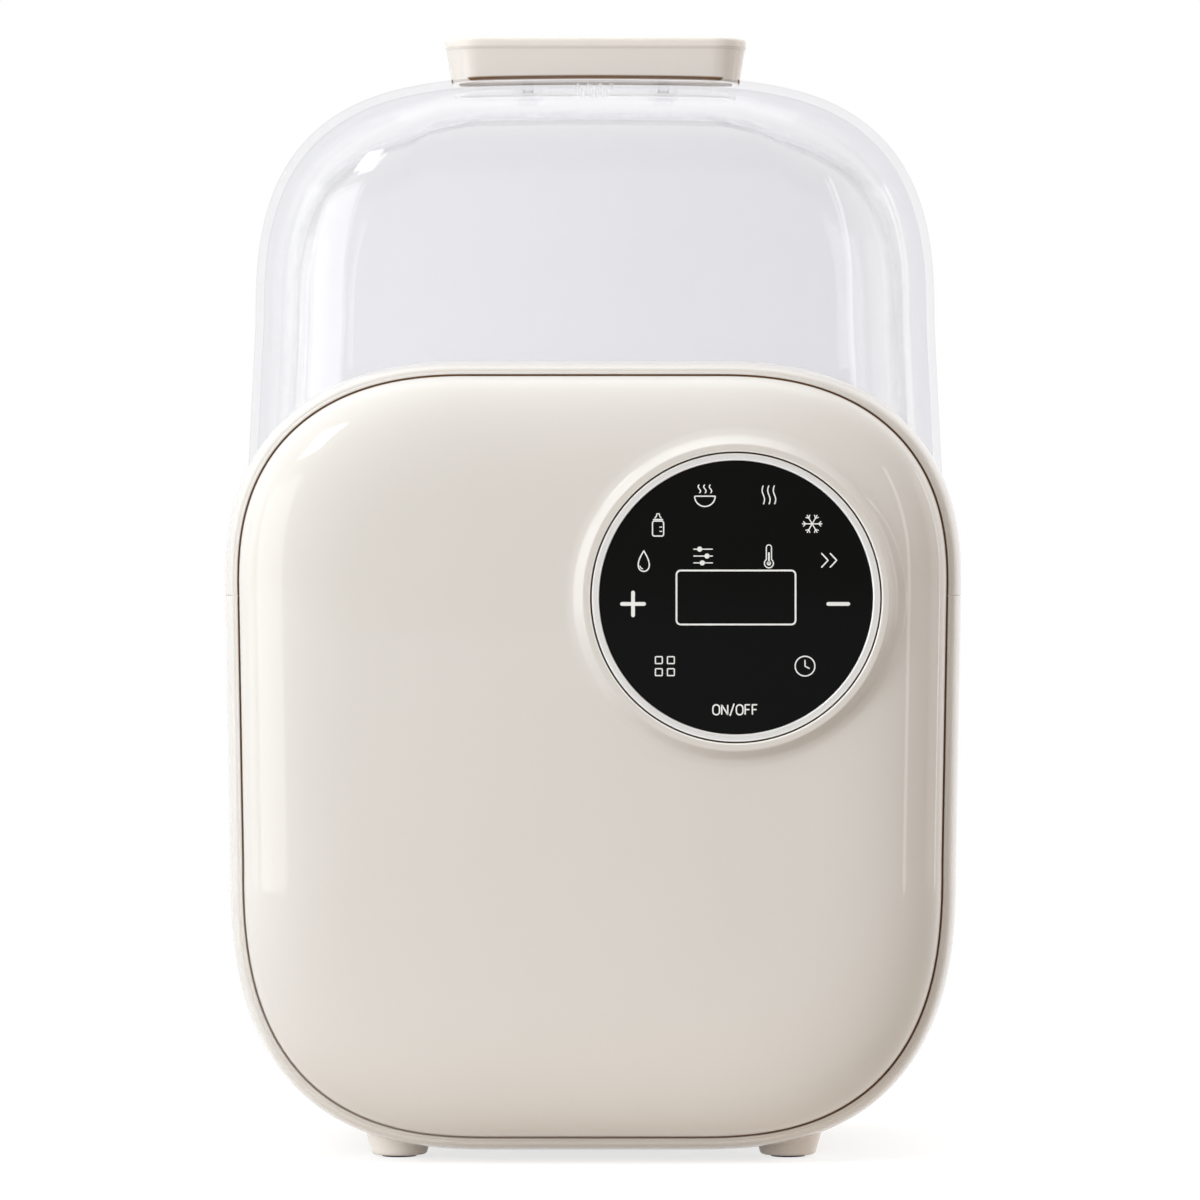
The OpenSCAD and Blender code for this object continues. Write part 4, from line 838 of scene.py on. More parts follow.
def lid_skin(wall):
    """Rings of one skin from the top down to the foot; the inner skin is the outer one moved in by the wall.
    A corner's radius is the soft minimum of its full size and a share of the half depth."""
    t = np.linspace(np.pi / 2, 0, 68)
    z_top = TOP_Z - SHOULDER_Z + (SHOULDER_Z - wall) * np.sin(t) ** (2 / SHOULDER_N)
    hx_top = CAP_HX + (SHOULDER_X - wall) * np.cos(t).clip(0) ** (2 / SHOULDER_N)
    z_side = np.linspace(TOP_Z - SHOULDER_Z, FOOT_Z + 3.6, 16)[1:]
    slope = (z_side - FOOT_Z) / (TOP_Z - SHOULDER_Z - FOOT_Z)
    z = np.concatenate([z_top, z_side])
    hx = np.concatenate([hx_top, LID_HX - wall - DRAFT * slope])
    shoulder = np.clip((z - TOP_Z + SHOULDER_Y) / (SHOULDER_Y - wall), 0, 1)
    bend = CAP_HY + (SHOULDER_Y - wall) * (1 - shoulder ** SHOULDER_YN) ** (1 / SHOULDER_YN)
    upright = LID_HY - wall - (z - FOOT_Z) / (TOP_Z - SHOULDER_Y - FOOT_Z)
    hy = np.where(z < TOP_Z - SHOULDER_Y, upright, bend)
    sharp = np.exp(-CORNER_EASE * (LID_R - wall)) + np.exp(-CORNER_EASE * CORNER_SHARE * hy)
    return crowned(rings(hx, hy, -np.log(sharp) / CORNER_EASE, z))


print("lid walls", LID_WALL)

# %% [markdown]
# Clear plastic is glass with a trace of tint, haze and flow lines. The tint is painted light: paler on the
# left, where the lamps stand, than on the right, and paler where the wall turns away, a painted sheen. Where
# the wall turns away from the eye it is seen along its length, and the bent light of so many faces would only
# give noise there. A see-through veil takes its place, as Layer Weight rises: a broad pale band, painted
# paler on the left, and a fine line at the very edge. Lamps shine straight through, so that the lid throws no
# black shadow.

# %% Clear plastic
# The left band is painted paler than the right, painted light from the lamps on the left; the turn's tint is
# a painted sheen.
BAND_LEFT_LIT, BAND_RIGHT_SHADED, LINE_VEIL = (0.965, 0.965, 0.974), (0.944, 0.944, 0.955), (0.92, 0.92, 0.925)
TURN_SHEEN_TINT, VEIL_SHARE = (0.968, 0.968, 0.973), 0.92


def see_through(tree, colour):
    """A share of plain see-through in one colour, which doesn't bend the light."""
    plain = tree.nodes.new("ShaderNodeBsdfTransparent")
    plain.inputs["Color"].default_value = (*colour, 1)
    return Wire(tree, plain.outputs[0])


def to_surface(tree, look):
    """Makes a shader the look of the material."""
    feed(tree, tree.nodes["Material Output"].inputs["Surface"], look)


def clear(name, colour, rough, bend=1.45, alpha=1.0):
    """Clear moulding: tinted glass with a trace of haze, faint flow lines, a few soft waves and the veil.
    Tint and veil carry painted light, paler on the left, and the tint a painted sheen where the wall turns
    away.
    """
    material, shader, place = new_finish(name, {"Transmission Weight": 0.93, "IOR": bend, "Alpha": alpha})
    tree = material.node_tree
    flow = place.noise(14.0, 3.0)
    facing = place.node("ShaderNodeLayerWeight", {}, {"Blend": 0.5}, "Facing")
    across = ramp(place.axis("X"), -90, 90)
    # Painted light: the tint is paler on the left, where the lamps stand, and darker on the right.
    tint = (across * 0.8 + flow * 0.2).blend(shade(colour, 1.035), shade(colour, 0.975))
    feed(tree, shader.inputs["Base Color"], facing.between(0.06, 0.26).blend(tint, TURN_SHEEN_TINT))
    feed(tree, shader.inputs["Roughness"], rough + flow * 0.006)
    feed(tree, shader.inputs["Normal"], place.noise(9.0, 1.0).bump(0.01, 0.001))
    look = Wire(tree, shader.outputs[0])
    band = across.mixed(see_through(tree, BAND_LEFT_LIT), see_through(tree, BAND_RIGHT_SHADED))
    for low, high, veil in ((0.32, 0.50, band), (0.84, 0.90, see_through(tree, LINE_VEIL))):
        look = facing.between(low, high, VEIL_SHARE).mixed(look, veil)
    lit = ray_kinds(tree, "Shadow", "Diffuse")
    to_surface(tree, lit.mixed(look, see_through(tree, shade(colour, 1.04))))
    return material


lid_clear = clear("lid_clear", (0.89, 0.887, 0.908), 0.0)
print("clear finish", lid_clear.name)

# %% [markdown]
# The whole lid is one closed grid: the two skins, joined at the foot by a skirt that drops into the tub's
# mouth. Two short rows of fine vents let the steam out, and their walls are frosted by the drill.

# %% Lid
VENT_R, VENT_STEP, VENT_ROWS = 0.6, 3.2, ((-20.3, (-1, 0, 1)), (-17.42, (-1.5, -0.5, 0.5, 1.5)))
lid_out, lid_in = lid_skin(0.0), lid_skin(LID_WALL)
foot = rounded([(0.0, 163.8), (0.0, FOOT_Z), (-4.0, FOOT_Z), (-4.0, 154.2), (-5.6, 154.2), (-5.6, 163.2),
                (-LID_WALL, 163.2), (-LID_WALL, 163.8)], (0.5, 0.3, 0.5, 0.5, 0.4, 0.4))


def offset_rings(o, z):
    """Rings of the lid's plan moved out by offsets, at heights."""
    o = np.asarray(o, float)
    return rings(LID_HX + o, LID_HY + o, LID_R + o, z)


outside, inside = [shrunk(lid_out[0], 8)[::-1], lid_out], [lid_in[::-1], shrunk(lid_in[0], 8)]
lid_grid = np.concatenate(outside + [offset_rings(*foot.T)[1:-1]] + inside)
lid = piece("clear_lid", "lid", "lid_clear", "lid_dome", lid_clear, [lattice(lid_grid)])
vent = [(0, 280), (VENT_R, 280), (VENT_R, 320), (0, 320)]
frost = {"Transmission Weight": 0.5, "IOR": 1.1, "Alpha": 0.3}
vent_frost = moulded("vent_frost", (0.99, 0.99, 1.0), 0.4, settings=frost)
cut(lid, [turned(vent, (i * VENT_STEP, y, 0), "up", 20) for y, row in VENT_ROWS for i in row], vent_frost)

# %% [markdown]
# The handle is a low bar on the lid, a little wider at its top than at its foot, with soft edges. Rings of
# its plan go up from a foot that follows the curve of the lid, so no wedge of air shows under its ends.

# %% Handle shape
HANDLE_HX, HANDLE_HY, HANDLE_R = 44.5, 13.5, 10.5
HANDLE_SUNK, HANDLE_FOLLOW, FOOT_BAND = 0.15, 6.0, 2.6
profile = rounded([(4.4, 1.0), (4.2, 0.0), (2.5, 0.0), (2.0, 0.4), (1.9, 1.0), (1.85, 1.3), (1.8, 1.6),
                   (1.75, 1.9), (1.7, 2.2), (0.45, 9.7), (0.0, 10.2), (0.0, 12.9), (6.0, 12.9)],
                  (0.3, 0.3, 0.3, 0.2, 0.1, 0.1, 0.1, 0.1, 0.4, 0.35, 1.3), 7)
inset, rise = profile[:-1].T
handle_grid = rings(HANDLE_HX - inset, HANDLE_HY - inset, HANDLE_R - inset, TOP_Z + rise)


def lid_line(x):
    """Height of the lid's top along its width: shoulders of a superellipse and the low crown."""
    drop = np.clip((np.abs(x) - CAP_HX) / SHOULDER_X, 0, 1)
    fall = SHOULDER_Z * (1 - (1 - drop ** SHOULDER_N) ** (1 / SHOULDER_N))
    return TOP_Z - fall + crown(x)


def foot_gap_shade(x, y, z):
    """Brown painted shade along the fine gap where the outside of the handle meets the lid."""
    outside = (np.abs(x) > HANDLE_HX - FOOT_BAND) | (np.abs(y - Y_MID) > HANDLE_HY - FOOT_BAND)
    return np.where(outside, 1 - (z - lid_line(x) - 0.9) / 0.5, 0)


follow = np.clip(1 - rise / HANDLE_FOLLOW, 0, 1)[:, None]
handle_grid[..., 2] -= (TOP_Z + HANDLE_SUNK - lid_line(handle_grid[..., 0])) * follow
print("handle rings", len(handle_grid))

# %% [markdown]
# The handle's cream is a touch paler than the body's, painted light that makes up for the lesser light on it.
# Its underside is seen only through the clear lid, which takes most of the light from it. A little emission
# there, painted light by the way the surface faces, gives it back.

# %% Handle bar
# Painted light: the handle's cream is the body's made paler, and its underside glows a little.
HANDLE_CREAM_BRIGHTENED, UNDER_GLOW = (0.765, 0.715, 0.665), (0.6, 0.59, 0.58)
handle_gloss = glossy("handle_gloss", HANDLE_CREAM_BRIGHTENED, [(gap_shade_share, GAP_SHADE_BROWN)])
tree = handle_gloss.node_tree
shader = tree.nodes["Principled BSDF"]
normal = Wire(tree, tree.nodes.new("ShaderNodeNewGeometry").outputs["Normal"])
feed(tree, shader.inputs["Emission Color"], normal.axis("Z").between(-0.5, -0.9).blend(BLACK, UNDER_GLOW))
shader.inputs["Emission Strength"].default_value = 1.0
handle_rows = [shrunk(handle_grid[0], 4)[::-1], handle_grid, shrunk(handle_grid[-1], 6)]
handle = piece("lid_handle_bar", "lid", "cream_gloss", "lid_handle", handle_gloss,
               [lattice(np.concatenate(handle_rows))])
paint_gap_shade(handle, foot_gap_shade)

# %% [markdown]
# The dial: a satin metal ring in a fine recess and a disc of black glass. The ring's brushed look comes
# from fine circles, so its roughness and bump read the distance from the dial's centre, and its bevels carry
# a painted highlight.

# %% Dial finishes
RING_IN, RING_OUT, RING_Y = 38.3, 40.4, -82.1
GLASS_R, GLASS_Y = 38.1, -81.6


def spun(name, colour, centre, axis, rough, lines=2500.0, settings=None, bevels=None):
    """Metal finished on a lathe: fine circles about a centre, from noise along the radius; bevels get a
    painted highlight.
    """
    material, shader, place = new_finish(name, settings or {"Metallic": 1.0})
    tree = material.node_tree
    radius = from_axis(place, centre, axis)
    circles = place.node("ShaderNodeTexNoise", {"noise_dimensions": "1D"},
                         {"W": radius, "Scale": lines, "Detail": 2.0})
    tone = (circles * 0.6 + place.noise(60.0, 2.0) * 0.4).blend(shade(colour, 0.94), shade(colour, 1.05))
    # Painted highlight: the two bevels of the ring are painted paler.
    if bevels is not None:
        inner = ramp(radius, bevels[0] + 0.6, bevels[0] + 0.35)
        bright = inner.greater(ramp(radius, bevels[1] - 0.6, bevels[1] - 0.35))
        tone = bright.blend(tone, shade(colour, 1.2))
    feed(tree, shader.inputs["Base Color"], tone)
    feed(tree, shader.inputs["Roughness"], rough + (circles - 0.5) * 0.12)
    feed(tree, shader.inputs["Normal"], circles.bump(0.08, 0.0002))
    return material


ring_silver = spun("ring_silver", (0.78, 0.783, 0.79), DIAL_CENTRE, DIAL_ACROSS, 0.30,
                   settings={"Metallic": 0.4}, bevels=(RING_IN, RING_OUT))
panel_black = moulded("panel_black", (0.0048, 0.0051, 0.0052), 0.12, grain=300, peel=0.01, cloud=0.1,
                      settings={"Specular IOR Level": 0.05})
print("dial finishes ready")

# %% [markdown]
# Ring and glass are turned about the dial's axis and stand on the ledge of the recess. The ring's profile
# is a closed loop with soft bevels; the glass is a disc with a ground edge that lies half a millimetre
# lower.

# %% Dial ring and glass
ring_corners = [(RING_IN, -LEDGE_Y), (RING_OUT, -LEDGE_Y), (RING_OUT, -RING_Y), (RING_IN, -RING_Y)]
ring_profile = rounded(ring_corners + ring_corners[:2], (0.1, 0.45, 0.5, 0.1), 6)[1:-1]
piece("dial_ring_metal", "base", "ring_silver", "dial_ring", ring_silver,
      [turned(ring_profile, DIAL_CENTRE, "front", 256, True)])
glass_corners = [(0, -LEDGE_Y), (GLASS_R, -LEDGE_Y), (GLASS_R, -GLASS_Y), (0, -GLASS_Y)]
glass_profile = rounded(glass_corners, (0.1, 0.3), 6)
piece("dial_glass", "base", "panel_black", "touch_panel", panel_black,
      [turned(glass_profile, DIAL_CENTRE, "front", 256)])

# %% [markdown]
# Marks on the glass are thin printed strokes. A picture would blur in a close view, so each is a flat
# ribbon carried along its line, with round ends, and stands a few hundredths of a millimetre on the glass.

# %% Printed strokes
CAP_POINTS, STROKE_STEP, STROKE_LEAST = 6, 0.22, 24


def stroke(points, width=0.42, loop=False, lift=0.04):
    """Ribbon along a line on the glass: width across it, round ends made by narrowing the last half width."""
    points = np.asarray(points, float)
    if loop:
        points = np.concatenate([points, points[:1]])
    length = np.concatenate([[0], np.cumsum(np.hypot(*np.diff(points, axis=0).T))])
    whole, round_end = length[-1], width / 2
    s = np.linspace(0, whole, max(STROKE_LEAST, int(whole / STROKE_STEP)))
    if not loop:
        cap = round_end * (1 - np.cos(np.linspace(0, np.pi / 2, CAP_POINTS)))
        s = np.unique(np.concatenate([cap, s[(s > round_end) & (s < whole - round_end)], whole - cap]))
    line = np.stack([np.interp(s, length, points[:, k]) for k in (0, 1)], axis=-1)
    ahead = np.gradient(line, axis=0)
    if loop:
        ahead[0] = ahead[-1] = line[1] - line[-2]
    ahead /= np.linalg.norm(ahead, axis=1, keepdims=True)
    left = np.stack([-ahead[:, 1], ahead[:, 0]], axis=-1)
    ends = np.minimum(s, whole - s).clip(0, round_end) / round_end
    half = round_end * (np.ones(len(s)) if loop else np.sqrt(np.clip(1 - (1 - ends) ** 2, 0.0, 1)))
    sides = np.stack([line + left * half[:, None], line - left * half[:, None]], axis=1)[:, [0, 0, 1, 1]]
    levels = np.array([GLASS_Y + 0.05, GLASS_Y - lift])[[0, 1, 1, 0]]
    depth = np.broadcast_to(levels, (len(s), 4))
    grid = np.stack([sides[..., 0] + DIAL_X, depth, sides[..., 1] + DIAL_Z], axis=-1)
    return lattice(grid[:-1], True, True) if loop else lattice(grid)


def arc(centre, radius, start, stop, count=40):
    """Points of an arc, angles in degrees."""
    a = np.radians(np.linspace(start, stop, count))
    return np.stack([centre[0] + radius * np.cos(a), centre[1] + radius * np.sin(a)], axis=-1)


print("stroke of 10 has", len(stroke([(0, 0), (10, 0)])[1]), "faces")

# %% [markdown]
# The keys carry plain signs that need no words. Those for what the machine does come first: a bottle,
# steam, a bowl, cold, a drop of water and the heat. Each sign is drawn about its own middle and then put at
# its place.

# %% Signs of bottle, steam, cold and heat
SIGN = 1.2


def moved(points, centre, size=SIGN):
    """Points of a sign, scaled and put at their place on the glass."""
    return np.asarray(points, float) * size + np.asarray(centre, float)


def bottle(c):
    """Feeding bottle: body, collar and teat, with two level marks."""
    body = [(-1.1, 0.9), (-1.3, 0.5), (-1.3, -2.3), (-1.0, -2.6), (1.0, -2.6), (1.3, -2.3), (1.3, 0.5),
            (1.1, 0.9)]
    teat = [(-0.8, 1.5), (-0.35, 2.1), (-0.3, 2.6), (0.3, 2.6), (0.35, 2.1), (0.8, 1.5)]
    levels = [stroke(moved([(0.3, z), (1.0, z)], c), 0.28) for z in (-0.5, -1.5)]
    return [stroke(moved(body, c), 0.36, True), stroke(moved([(-1.2, 1.25), (1.2, 1.25)], c), 0.36),
            stroke(moved(teat, c), 0.32)] + levels


def steam(c, low, high):
    """Three rising wavy lines."""
    t = np.linspace(0, 1, 30)
    wave = np.stack([0.28 * np.sin(t * 2 * np.pi), low + (high - low) * t], axis=-1)
    return [stroke(moved(wave + (dx, 0), c), 0.34) for dx in (-1.3, 0, 1.3)]


def bowl(c):
    """Bowl with steam over it."""
    cup = np.concatenate([[(-2.4, -0.3)], arc((0, -0.3), 2.4, 180, 360), [(-2.4, -0.3)]])
    return [stroke(moved(cup, c), 0.36)] + steam(c, 0.4, 2.4)


def flake(c):
    """Six arms with small barbs."""
    arms = []
    for a in np.radians([0, 60, 120]):
        d = np.array([np.cos(a), np.sin(a)])
        arms.append(stroke(moved([-2.4 * d, 2.4 * d], c), 0.32, lift=0.04 + 0.004 * len(arms)))
    for a in np.radians(np.arange(0, 360, 60)):
        d, n = np.array([np.cos(a), np.sin(a)]), np.array([-np.sin(a), np.cos(a)])
        arms.append(stroke(moved([2.1 * d + 0.6 * n, 1.5 * d, 2.1 * d - 0.6 * n], c), 0.28, lift=0.055))
    return arms


def drop(c):
    """Water drop with a gleam."""
    t = np.linspace(0, 2 * np.pi, 60, endpoint=False)
    shape = np.stack([1.75 * np.sin(t) * np.sin(t / 2) ** 1.2, 2.4 * np.cos(t)], axis=-1)
    return [stroke(moved(shape, c), 0.36, True), stroke(moved(arc((0, -0.9), 0.95, 190, 260, 16), c), 0.3)]


def gauge(c):
    """Thermometer: a stem, a bulb and a filled column."""
    shape = np.concatenate([arc((0, 2.0), 0.6, 0, 180, 14), arc((0, -1.7), 1.05, 125, 415, 30)])
    return [stroke(moved(shape, c), 0.32, True), stroke(moved([(0, -1.7), (0, 0.9)], c), 0.5),
            stroke(moved(arc((0, -1.7), 0.28, 0, 360), c), 0.56, True)]


signs = bowl((-8.7, 28.7)) + steam((9.2, 28.7), -2.2, 2.2) + bottle((-21.8, 20.3)) + flake((21.3, 20.6))
signs += drop((-25.8, 10.2)) + gauge((9.2, 11.6))
print("strokes so far", len(signs))

# %% [markdown]
# The other signs are for the keys: speed, settings, a list, a clock, plus and minus, a frame for the
# window, and the plain words of a mains key. Strokes that cross lie a hair higher, so that no two faces
# fight for a place.


# %% Signs of the keys
def clock(c):
    """Clock: a dial and two hands."""
    return [stroke(moved(arc((0, 0), 2.3, 0, 360), c), 0.36, True),
            stroke(moved([(0, 1.5), (0, 0), (1.1, -0.6)], c), 0.36)]


def tiles(c):
    """Four small squares, the usual sign for a list of choices."""
    square = [(-0.8, -0.8), (0.8, -0.8), (0.8, 0.8), (-0.8, 0.8)]
    spots = [(dx, dz) for dx in (-1.4, 1.4) for dz in (-1.4, 1.4)]
    return [stroke(moved(np.add(square, spot), c), 0.34, True) for spot in spots]


def sliders(c):
    """Three level lines with a knob on each."""
    rows = []
    for dz, knob in ((1.6, -0.8), (0, 0.9), (-1.6, -0.2)):
        rows.append(stroke(moved([(-2.3, dz), (2.3, dz)], c), 0.3))
        rows.append(stroke(moved(arc((knob, dz), 0.36, 0, 360), c), 0.6, True, 0.05))
    return rows


def chevrons(c):
    """Two arrowheads for speed."""
    return [stroke(moved([(dx - 0.8, 1.7), (dx + 0.8, 0), (dx - 0.8, -1.7)], c), 0.4) for dx in (-1.0, 1.0)]


def on_off(c, height=2.8):
    """The plain words for a mains key, drawn as strokes one letter after another."""
    oval = np.concatenate([arc((0.33, 0.67), 0.33, 0, 180, 14), arc((0.33, 0.33), 0.33, 180, 360, 14)])
    shapes = {"O": ([oval], 0.66), "N": ([[(0, 0), (0, 1), (0.6, 0), (0.6, 1)]], 0.6),
              "/": ([[(0, -0.12), (0.42, 1.12)]], 0.42),
              "F": ([[(0, 0), (0, 1), (0.5, 1)], [(0, 0.52), (0.44, 0.52)]], 0.5)}
    made, x = [], -2.2
    for letter in "ON/OFF":
        lines, wide = shapes[letter]
        for number, line in enumerate(lines):
            shape = moved(np.add(line, (x, -0.5)), c, height)
            made.append(stroke(shape, 0.4, letter == "O", 0.04 + 0.01 * number))
        x += wide + 0.22
    return made


def frame_line(w, h, r):
    """Rounded rectangle line about the dial's centre."""
    x, z = w / 2 - r, h / 2 - r
    corners = [(x, z), (-x, z), (-x, -z), (x, -z)]
    return np.concatenate([arc(corner, r, 90 * k, 90 * k + 90, 8) for k, corner in enumerate(corners)])


signs += chevrons((26.0, 10.4)) + sliders((-9.2, 11.6)) + tiles((-19.9, -19.2)) + clock((19.3, -19.2))
signs += on_off((-0.3, -31.4)) + [stroke(frame_line(33.3, 15.1, 1.2), 0.5, True)]
signs += [stroke([(-32.4, -1.8), (-25.2, -1.8)], 1.05), stroke([(25.3, -1.8), (31.9, -1.8)], 1.05)]
signs += [stroke([(-28.8, -5.5), (-28.8, 1.9)], 1.05, lift=0.05)]
mark_white = moulded("mark_white", (0.86, 0.86, 0.86), 0.45, grain=1500, peel=0.05, cloud=0.03)
dress(new_object("dial_marks", signs), "base", "white_plastic", mark_white)

# %% [markdown]
# Under the lid sits the water tub. Its plan rings start at the round hole of the heating plate, widen over
# the floor, round up into the wall and step out to the mouth, and its flange lies on the base. The outside
# goes back down to the hole, so wall and floor have their real thickness.

# %% Tub
TUB_IN, TUB_BEND_Z, TUB_HOLE_R = 21.0, 74.0, 40.0
BEND_IN, BEND_OUT = 10.0, 12.0
FLANGE_HX, FLANGE_BACK, FLANGE_R = side_x(FLANGE_Z, 0) - 0.6, 80.9, 23.4


def inside_lid(x, y):
    """Distance of a point outside the lid's plan, negative inside (rounded box)."""
    qx, qy = np.abs(x) - (LID_HX - LID_R), np.abs(y - Y_MID) - (LID_HY - LID_R)
    return np.minimum(np.maximum(qx, qy), 0) + np.hypot(np.maximum(qx, 0), np.maximum(qy, 0)) - LID_R


def floor_rows(ring, bend, count):
    """Rows from the plate's hole out to a ring; height follows the rounded edge of the floor, a circle of
    radius bend, by the distance from the wall."""
    a = np.arctan2(ring[:, 1] - Y_MID, ring[:, 0])
    circle = np.stack([TUB_HOLE_R * np.cos(a), Y_MID + TUB_HOLE_R * np.sin(a)], axis=-1)
    share = np.linspace(0, 1, count, endpoint=False)[:, None, None]
    flat = circle + (ring[:, :2] - circle) * share
    rise = np.clip(inside_lid(flat[..., 0], flat[..., 1]) + TUB_IN, 0, bend)
    return np.concatenate([flat, (TUB_BEND_Z - np.sqrt(bend ** 2 - rise ** 2))[..., None]], axis=-1)


def edge_rings(bend, low, high):
    """Rings up the rounded edge between floor and wall, between two angles in degrees."""
    t = np.radians(np.linspace(low, high, 9))
    return offset_rings(-TUB_IN + bend * np.cos(t), TUB_BEND_Z - bend * np.sin(t))


wall_in = rounded([(-11, TUB_BEND_Z), (-8, 147.6), (-3.4, 151), (-3.4, 158.7), (-2.4, 158.7),
                   (-2.4, SPLIT_Z)], (1.5, 1.5, 0.2, 0.2), 6)
wall_out = rounded([(-1.4, 157.3), (-1.4, 151), (-6, 147.6), (-9, TUB_BEND_Z)], (1.5, 1.5), 6)
lip = rounded([(0.0, SPLIT_Z), (1.0, SPLIT_Z), (1.0, FLANGE_Z), (0.0, FLANGE_Z)], (0.4, 0.3), 5)
share, z = lip.T
x, y = plan(FLANGE_HX - 1 + share, PARTITION_BACK - share, FLANGE_BACK + share, 0.4 + 0 * z, FLANGE_R + share)
flange = np.stack([x, y, z[:, None] + 0 * x], axis=-1)
edge_in, edge_out = edge_rings(BEND_IN, 60, 4), edge_rings(BEND_OUT, 4, 60)
tub_rows = [floor_rows(edge_in[0], BEND_IN, 10), edge_in, offset_rings(*wall_in.T), flange,
            offset_rings(*wall_out.T), edge_out, floor_rows(edge_out[-1], BEND_OUT, 6)[::-1]]
tub_grey = moulded("tub_grey", (0.66, 0.655, 0.645), 0.36, grain=900, peel=0.07)
piece("water_tub", "base", "tub_grey", "inner_tub", tub_grey, [lattice(np.concatenate(tub_rows), True, True)])

# %% [markdown]
# In the tub floor a bare steel plate heats the water, with a silicone seal round it. Both are turned, with
# the lathe circles of a spun plate.

# %% Heating plate and seal
MIDDLE = (0, Y_MID, 0)
plate_steel = spun("plate_steel", (0.58, 0.58, 0.585), MIDDLE, (1.0, 1.0, 0.0), 0.28, 900.0)
plate_profile = rounded([(0, 57), (46, 57), (46, 60), (39, 60), (39, 64), (34, 64), (33, 63.6), (9, 63.6),
                         (8, 64), (0, 64)], (0.4, 0.4, 0.3, 0.8, 0.6, 0.6, 0.6, 0.6), 5)
piece("heating_plate_disc", "base", "plate_steel", "heating_plate", plate_steel,
      [turned(plate_profile, MIDDLE, "up", 160)])
seal_red = moulded("seal_silicone", (0.42, 0.085, 0.06), 0.5, grain=800, peel=0.1)
seal_corners = [(39.05, 60), (45.5, 60), (45.5, 62), (39.95, 62), (39.95, 63.7), (39.05, 63.7)]
seal_profile = rounded(seal_corners + seal_corners[:2], (0.2, 0.2, 0.1, 0.3, 0.3, 0.1), 4)[1:-1]
piece("plate_seal_ring", "base", "seal_silicone", "plate_seal", seal_red,
      [turned(seal_profile, MIDDLE, "up", 128, True)])

# %% [markdown]
# The bottle basket lifts out by a loop between its two wells. Each well is a turned cup with a soft lip;
# slots in the wall and holes in the floor let steam through, and a Boolean cuts them.

# %% Basket wells
WELL_X, WELL_R, WELL_OUT, WELL_Z, WELL_H, WELL_FLOOR = 45.0, 41.0, 43.2, 73.2, 42.0, 2.2
WELL_TOP = WELL_Z + WELL_H
SLOT_HW, SLOT_HH, SLOT_R, SLOT_FROM, SLOT_TO = 5.0, 12.0, 2.5, 38.5, 46.0
HOLE_MID, HOLE_RING, HOLE_R = 9, 24.6, 6
cup = rounded([(0, WELL_Z), (WELL_OUT, WELL_Z), (WELL_OUT, WELL_TOP), (WELL_R, WELL_TOP),
               (WELL_R, WELL_Z + WELL_FLOOR), (0, WELL_Z + WELL_FLOOR)], (1.2, 1.0, 1.0, 1.6), 6)


def slot_cutter(angle, centre):
    """Slot cutter that points outwards from a well: a rounded rectangle carried along the radius."""
    a = np.linspace(0, 2 * np.pi, 48, endpoint=False)
    u = (SLOT_HW - SLOT_R) * np.sign(np.cos(a)) + SLOT_R * np.cos(a)
    v = (SLOT_HH - SLOT_R) * np.sign(np.sin(a)) + SLOT_R * np.sin(a)
    loop = np.stack([0 * u, u, v], axis=-1)
    grid = np.stack([loop * (1, 0, 0), loop, loop, loop * (1, 0, 0)])
    grid[:2, :, 0], grid[2:, :, 0] = SLOT_FROM, SLOT_TO
    out, across, up = np.moveaxis(grid, -1, 0)
    c, s = np.cos(angle), np.sin(angle)
    return lattice(np.stack([out * c - across * s, out * s + across * c, up], -1) + np.asarray(centre, float))


def hole_cutter(radius, centre, count):
    """Upright bore through a well's floor."""
    return turned([(0, 60), (radius, 60), (radius, 80), (0, 80)], centre, "up", count)


def well(side):
    """One well cut with its slots and holes, as a separate object to be joined."""
    centre = np.array([side * WELL_X, Y_MID, 0])
    made = new_object("well", [turned(cup, centre, "up", 144)])
    angles = np.radians(np.arange(60, 301, 30)) + (np.pi if side > 0 else 0)
    tools = [slot_cutter(a, centre + (0, 0, WELL_Z + WELL_H / 2)) for a in angles]
    tools.append(hole_cutter(HOLE_MID, centre, 48))
    for a in np.radians(np.arange(0, 360, 45)):
        tools.append(hole_cutter(HOLE_R, centre + (HOLE_RING * np.cos(a), HOLE_RING * np.sin(a), 0), 36))
    cut(made, tools)
    return made


wells = [well(side) for side in (-1, 1)]

# %% [markdown]
# The grip is a flat post with a loop on top, so a finger or tongs can lift the hot basket. Both are a soft
# rectangle carried along a path, round a circle and up a line. Four legs hold the basket over the water.


# %% Basket grip and legs
def bar_rings(section, centres, across, up):
    """Profile carried along a path: section offsets times the directions across and up at each point."""
    u, v = section.T
    return centres[:, None] + u[None, :, None] * across[:, None] + v[None, :, None] * up[:, None]


def soft_box(half_u, half_v, r, count=6):
    """Rounded rectangle section."""
    a = np.linspace(0, np.pi / 2, count)
    q = np.stack([half_u - r + r * np.cos(a), half_v - r + r * np.sin(a)], axis=-1)
    flip = q[::-1]
    return np.concatenate([q, flip * (-1, 1), q * (-1, -1), flip * (1, -1)])


